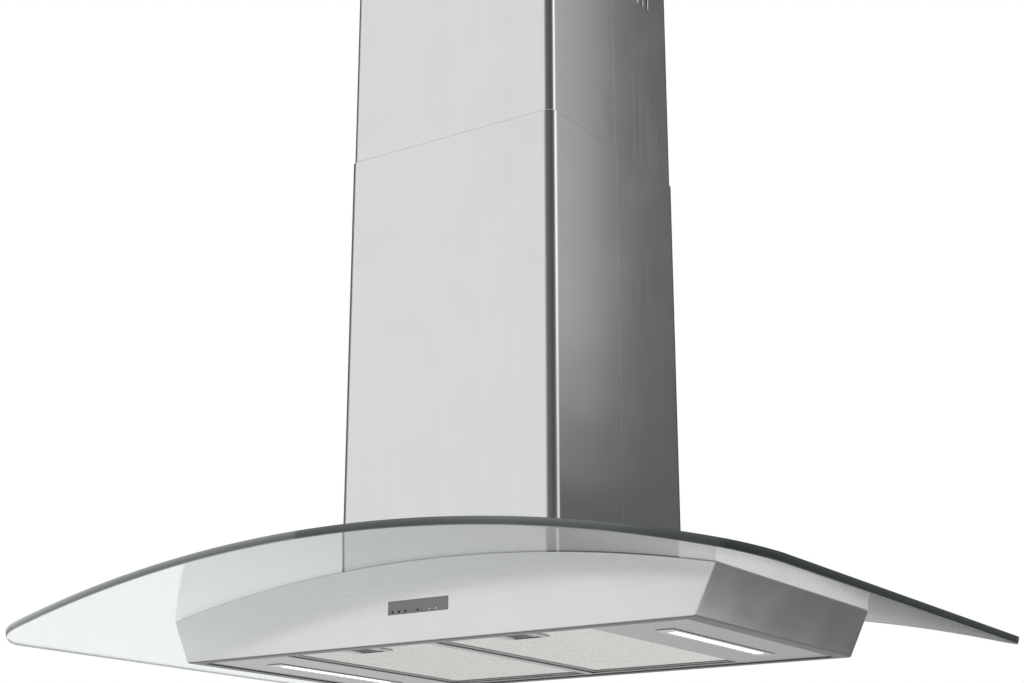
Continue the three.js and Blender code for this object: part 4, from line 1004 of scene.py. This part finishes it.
def filter_border(hand, side):
    """Folded frame of a filter, with the cup for its latch and its two tabs at the rear."""
    shape = Shape()
    half_x, half_y = FILTER_WIDTH / 2, FILTER_DEPTH / 2
    bottom, top, r, wall = FILTER_BOTTOM, FILTER_TOP, FILTER_BEND, FILTER_SHEET
    lower = [math.radians(t) for t in (22, 45, 67, 90)]
    upper = [math.radians(t) for t in (0, 22, 45, 67, 90)]
    section = [(FILTER_BORDER, bottom + FILTER_FALL), (r, bottom)]
    section += [(r - r * math.sin(a), bottom + r - r * math.cos(a)) for a in lower]
    section += [(r - r * math.cos(a), top - r + r * math.sin(a)) for a in upper]
    section += [(FILTER_BORDER, top - FILTER_FALL), (FILTER_BORDER, top - wall), (wall, top - wall),
                (wall, bottom + wall), (FILTER_BORDER, bottom + wall)]
    swept_border(shape, half_x, half_y, section, FILTER_CORNER)

    cup_x = LATCH_CUP_WIDTH / 2
    latch_x = LATCH_WIDTH / 2 + SEAT_GAP
    xs = [-cup_x, -latch_x, latch_x, cup_x]
    ys = [FILTER_FRONT + wall, CUP_BACK - wall, CUP_BACK]
    window = (-latch_x, latch_x, ys[0], ys[1])
    pierced_sheet(shape, xs, ys, [window], bottom + 0.05, bottom + wall)
    front, low, high = FILTER_FRONT + wall + 0.1, bottom + wall / 2, top - 0.2
    for x in (-latch_x - wall, latch_x):
        shape.box((x, front, low), (x + wall, CUP_BACK, high))
    shape.box((-latch_x - wall, CUP_BACK - wall, low), (latch_x + wall, CUP_BACK, high))
    shape.box((-latch_x - wall, front, high - 1.0), (latch_x + wall, CUP_BACK, high))
    for x in (-TAB_X, TAB_X):
        shape.box((x - TAB_WIDTH / 2, half_y - TAB_ROOT, bottom),
                  (x + TAB_WIDTH / 2, half_y + TAB_REACH, bottom + TAB_SHEET))
    shape.shift(side * FILTER_X)
    shape.build(f"filter_border_{hand}", ["panel"], f"filter_{hand}",
                [f"filter_frame_{hand}"], SHEET_SHARP)


def filter_layers(hand, side):
    shape = Shape()
    half_x = FILTER_WIDTH / 2 - FILTER_BORDER + MESH_UNDER_BORDER
    half_y = FILTER_DEPTH / 2 - FILTER_BORDER + MESH_UNDER_BORDER

    def in_cup(x, y):
        return abs(x) < LATCH_CUP_WIDTH / 2 and y < CUP_BACK

    for lift, *sizes in MESH_LAYERS:
        expanded_skin(shape, half_x, half_y, FILTER_BOTTOM + lift, *sizes, in_cup)
    shape.shift(side * FILTER_X)
    shape.build(f"filter_layers_{hand}", ["mesh", "mesh_painted_shade"], f"filter_{hand}",
                [f"filter_mesh_{hand}"], MESH_SHARP)


def filter_catch(hand, side):
    """Sliding latch: a flat plate with a sloping pocket for a fingertip, whose underside is grey
    plastic that also paints the shade in the pocket.
    """
    shape = Shape()
    bottom = FILTER_BOTTOM
    half, pocket, floor_half = LATCH_WIDTH / 2, POCKET_WIDTH / 2, POCKET_FLOOR_WIDTH / 2
    grip = CUP_BACK - FILTER_SHEET - SEAT_GAP - LATCH_TRAVEL
    near, far = FILTER_FRONT + POCKET_START, grip - POCKET_WALL
    xs = [-half, -pocket, pocket, half]
    ys = [FILTER_FRONT - LATCH_REACH, near, far, grip]
    pierced_sheet(shape, xs, ys, [(-pocket, pocket, near, far)], bottom, bottom + LATCH_SHEET)
    rim = [(-pocket, near), (pocket, near), (pocket, far), (-pocket, far)]
    floor_near, floor_far = (near + 2.0, bottom + 2.2), (far - 1.0, FILTER_TOP - 1.6)
    bowl = [(-floor_half, *floor_near), (floor_half, *floor_near),
            (floor_half, *floor_far), (-floor_half, *floor_far)]
    rim_below = shape.loop([(x, y, bottom + 0.3) for x, y in rim])
    floor_below = shape.loop(bowl)
    rim_above = shape.loop([(x, y, bottom + 1.3) for x, y in rim])
    floor_above = shape.loop([(x, y, z + POCKET_SHEET) for x, y, z in bowl])
    # The pocket's underside takes the fascia's grey plastic, a real part whose dark tone also
    # stands in for the shade in the recess.
    shape.bridge(rim_below, floor_below, 1)
    shape.face(floor_below, 1)
    shape.bridge(rim_above, floor_above)
    shape.face(floor_above)
    shape.bridge(rim_below, rim_above)
    shape.shift(side * FILTER_X)
    shape.build(f"filter_catch_{hand}", ["plated", "fascia"], f"latch_{hand}",
                [f"filter_latch_{hand}"])


def lamp(hand, side):
    """Bezel below the panel and the tray above it that holds the lens."""
    shape = Shape()
    view_x, view_y = LENS_WIDTH / 2 - BEZEL_LAP, LENS_LENGTH / 2 - BEZEL_LAP
    xs = [-BEZEL_WIDTH / 2, -view_x, view_x, BEZEL_WIDTH / 2]
    ys = [-BEZEL_LENGTH / 2, -view_y, view_y, BEZEL_LENGTH / 2]
    pierced_sheet(shape, xs, ys, [(-view_x, view_x, -view_y, view_y)], BEZEL_BOTTOM, BEZEL_TOP)
    lens_x, lens_y = LENS_WIDTH / 2 + SEAT_GAP, LENS_LENGTH / 2 + SEAT_GAP
    tray_x, tray_y = lens_x + LAMP_WALL, lens_y + LAMP_WALL
    xs, ys = [-tray_x, -lens_x, lens_x, tray_x], [-tray_y, -lens_y, lens_y, tray_y]
    pierced_sheet(shape, xs, ys, [(-lens_x, lens_x, -lens_y, lens_y)], BEZEL_TOP, LAMP_ROOF)
    shape.box((-tray_x, -tray_y, LAMP_ROOF), (tray_x, tray_y, LAMP_ROOF + LAMP_WALL))
    shape.shift(side * LAMP_X)
    shape.build(f"lamp_bezel_{hand}", ["bezel"], "canopy",
                [f"lamp_housing_{hand}"], rounding=BEZEL_ROUNDING)


# ---- key panel ----
def key_panel():
    shape = Shape()
    face = -BODY_DEPTH / 2 - CONTROL_PROUD
    half_x, half_z = CONTROL_WIDTH / 2, CONTROL_HEIGHT / 2
    key_height = CONTROL_RISE - KEY_DROP

    def layered(shape, height, profile, outline):
        """Solid through an outline for each size and depth of a profile."""
        loops = [
            shape.loop([(x, face + depth, height + z) for x, z in outline(size)])
            for size, depth in profile
        ]
        shape.skin(loops)
        shape.face(loops[0])
        shape.face(loops[-1][::-1])

    layered(shape, CONTROL_RISE, FASCIA_PROFILE,
            lambda inset: frame_outline(half_x - inset, half_z - inset, CONTROL_CORNER, 4))
    for s in (-1, 1):
        circle = ring_points(s * (half_x + POST_OFFSET), CONTROL_RISE, POST_RADIUS, POST_SIDES)
        shape.join(bar("y", circle, *(face + depth for depth in POST_SPAN)))
    piece = shape.build("key_fascia", ["fascia"], "canopy", ["control_fascia"])
    cut_out(piece, [
        bar("y", ring_points(x, key_height, KEY_HOLE_RADIUS, HOLE_SIDES), face - 1, face + 3.5)
        for x in KEY_PLACES
    ])
    for number, x in enumerate(KEY_PLACES, 1):
        key = Shape()
        layered(key, key_height, KEY_PROFILE,
                lambda radius: ring_points(x, 0.0, radius, HOLE_SIDES))
        tone = "dark_key" if number <= DARK_KEYS else "pale_key"
        key.build(f"key_cap_{number}", [tone], f"key_{number}", [f"control_key_{number}"])


curved_glass()
body_shell()
chimney()
underside()
for hand, side in (("left", -1), ("right", 1)):
    filter_border(hand, side)
    filter_layers(hand, side)
    filter_catch(hand, side)
    lamp(hand, side)
key_panel()


# ---- studio, in metres ----
FLOOR_RADIUS = 9.7
FLOOR_PLACE = (0.4, 2.2, -4.3)
FLOOR_FADE = (5.0, 9.0)  # its glow rises here, so that its edge melts into the white
FLOOR_GLOW = 0.55
FLOOR_EDGE_GLOW = 0.6

# Brightness of the studio's walls by compass direction, above and below the hood's level.
UPPER_WALLS = (
    (-180, 0.12), (-165, 0.14), (-148, 0.885), (-118, 0.885), (-108, 0.5), (-99, 0.25), (-88, 0.14),
    (-60, 0.12), (-35, 0.075), (-14, 0.09), (4, 0.3), (15, 1.0), (28, 1.0), (37, 0.3), (46, 0.12),
    (66, 0.13), (73, 0.03), (88, 0.03), (98, 0.1), (128, 0.1), (180, 0.12),
)
LOWER_WALLS = (
    (-180, 0.5), (-150, 0.46), (-105, 0.46), (-70, 0.3), (0, 0.3), (40, 0.13), (78, 0.15),
    (97, 0.32), (108, 0.33), (118, 0.5), (134, 0.82), (150, 0.78), (180, 0.5),
)
# Sines of the elevations between which one tone of the room turns into the next.
WALL_CHANGE = (-0.06, 0.12)
RING_CHANGE = (0.58, 0.68)
CEILING_CHANGE = (0.8, 0.95)
RING_TONE = (0.4, 0.4, 0.405)
CEILING_TONE = (0.6, 0.6, 0.61)

# Light cards beside the chimney: name, height from the ceiling, how tall, and power.
SIDE_CARDS = (
    ("side_card_high", 0.02, 0.76, 0.52),
    ("side_card_middle", -0.41, 0.1, 0.05),
    ("side_card_low", -0.51, 0.1, 0.024),
)
CARD_X = 0.46
CARD_Y = 0.2
CARD_LENGTH = 0.6

CAMERA_PLACE = (1.0312, -1.5566, -1.0819)
CAMERA_LENS = 61.27
CAMERA_SENSOR = 36.0
CAMERA_PITCH = 0.3047
CAMERA_TURN = 0.5868


def floor():
    mesh = bpy.data.meshes.new("studio_floor")
    work = bmesh.new()
    bmesh.ops.create_circle(work, cap_ends=True, segments=96, radius=FLOOR_RADIUS)
    work.to_mesh(mesh)
    work.free()
    look = Look("pale_floor", roughness=0.75)
    tone = look.blend(look.noise(3.0), (0.86, 0.86, 0.855), (0.9, 0.9, 0.895))
    look.color(tone)
    look.link(tone, look.shader.inputs["Emission Color"])
    reach = look.node("ShaderNodeVectorMath", operation="LENGTH")
    look.link(look.place, reach.inputs[0])
    fade = look.spread(reach.outputs["Value"], *FLOOR_FADE, 0.0, FLOOR_EDGE_GLOW)
    seen = look.node("ShaderNodeLightPath").outputs["Is Camera Ray"]
    glow = look.math("ADD", look.math("MULTIPLY", seen, fade), FLOOR_GLOW)
    look.link(glow, look.shader.inputs["Emission Strength"])
    mesh.materials.append(look.mat)
    plane = add_object("studio_floor", mesh)
    plane.location = FLOOR_PLACE


def studio_world():
    """White to look at, and a room of lit and shaded walls for what the object mirrors."""
    world = bpy.data.worlds.new("studio")
    bpy.context.scene.world = world
    world.use_nodes = True
    world.node_tree.nodes.clear()
    nodes = Nodes(world.node_tree)
    parts = nodes.node("ShaderNodeSeparateXYZ")
    nodes.link(nodes.node("ShaderNodeTexCoord").outputs["Generated"], parts.inputs[0])
    angle = nodes.math("ARCTAN2", parts.outputs["Y"], parts.outputs["X"])
    turn = nodes.spread(angle, -math.pi, math.pi)

    def walls(levels):
        stops = [((azimuth + 180) / 360, (level,) * 3) for azimuth, level in levels]
        return nodes.ramp(turn, stops)

    def by_height(change, below, above):
        rise = nodes.spread(parts.outputs["Z"], *change, interpolation_type="SMOOTHSTEP")
        return nodes.blend(rise, below, above)

    mirrored = by_height(WALL_CHANGE, walls(LOWER_WALLS), walls(UPPER_WALLS))
    mirrored = by_height(RING_CHANGE, mirrored, RING_TONE)
    mirrored = by_height(CEILING_CHANGE, mirrored, CEILING_TONE)
    room = nodes.node("ShaderNodeBackground")
    nodes.link(mirrored, room.inputs["Color"])
    white = nodes.node("ShaderNodeBackground")
    white.inputs["Color"].default_value = (1.0, 1.0, 1.0, 1.0)
    path = nodes.node("ShaderNodeLightPath")
    unmirrored = nodes.math("LESS_THAN", path.outputs["Glossy Depth"], 0.5)
    through = nodes.math("MULTIPLY", path.outputs["Is Transmission Ray"], unmirrored)
    seen = nodes.math("MAXIMUM", path.outputs["Is Camera Ray"], through)
    surface = nodes.mixed(seen, room.outputs[0], white.outputs[0])
    nodes.link(surface, nodes.node("ShaderNodeOutputWorld").inputs["Surface"])


def side_card(name, height, tall, power):
    """Light card that faces the side of the chimney and that only reflections show."""
    data = bpy.data.lights.new(name, "AREA")
    data.shape = "RECTANGLE"
    data.size, data.size_y = CARD_LENGTH, tall
    data.energy = power
    card = add_object(name, data)
    card.location = (CARD_X, CARD_Y, height)
    card.rotation_euler = Vector((-1.0, 0.0, 0.0)).to_track_quat("-Z", "Y").to_euler()
    card.visible_camera = False
    card.visible_transmission = False


def camera():
    data = bpy.data.cameras.new("camera")
    data.sensor_width, data.lens = CAMERA_SENSOR, CAMERA_LENS
    eye = add_object("camera", data)
    eye.location = CAMERA_PLACE
    eye.rotation_euler = (math.pi / 2 + CAMERA_PITCH, 0.0, CAMERA_TURN)
    bpy.context.scene.camera = eye


floor()
studio_world()
for card in SIDE_CARDS:
    side_card(*card)
camera()
bpy.context.scene.view_settings.view_transform = "Standard"
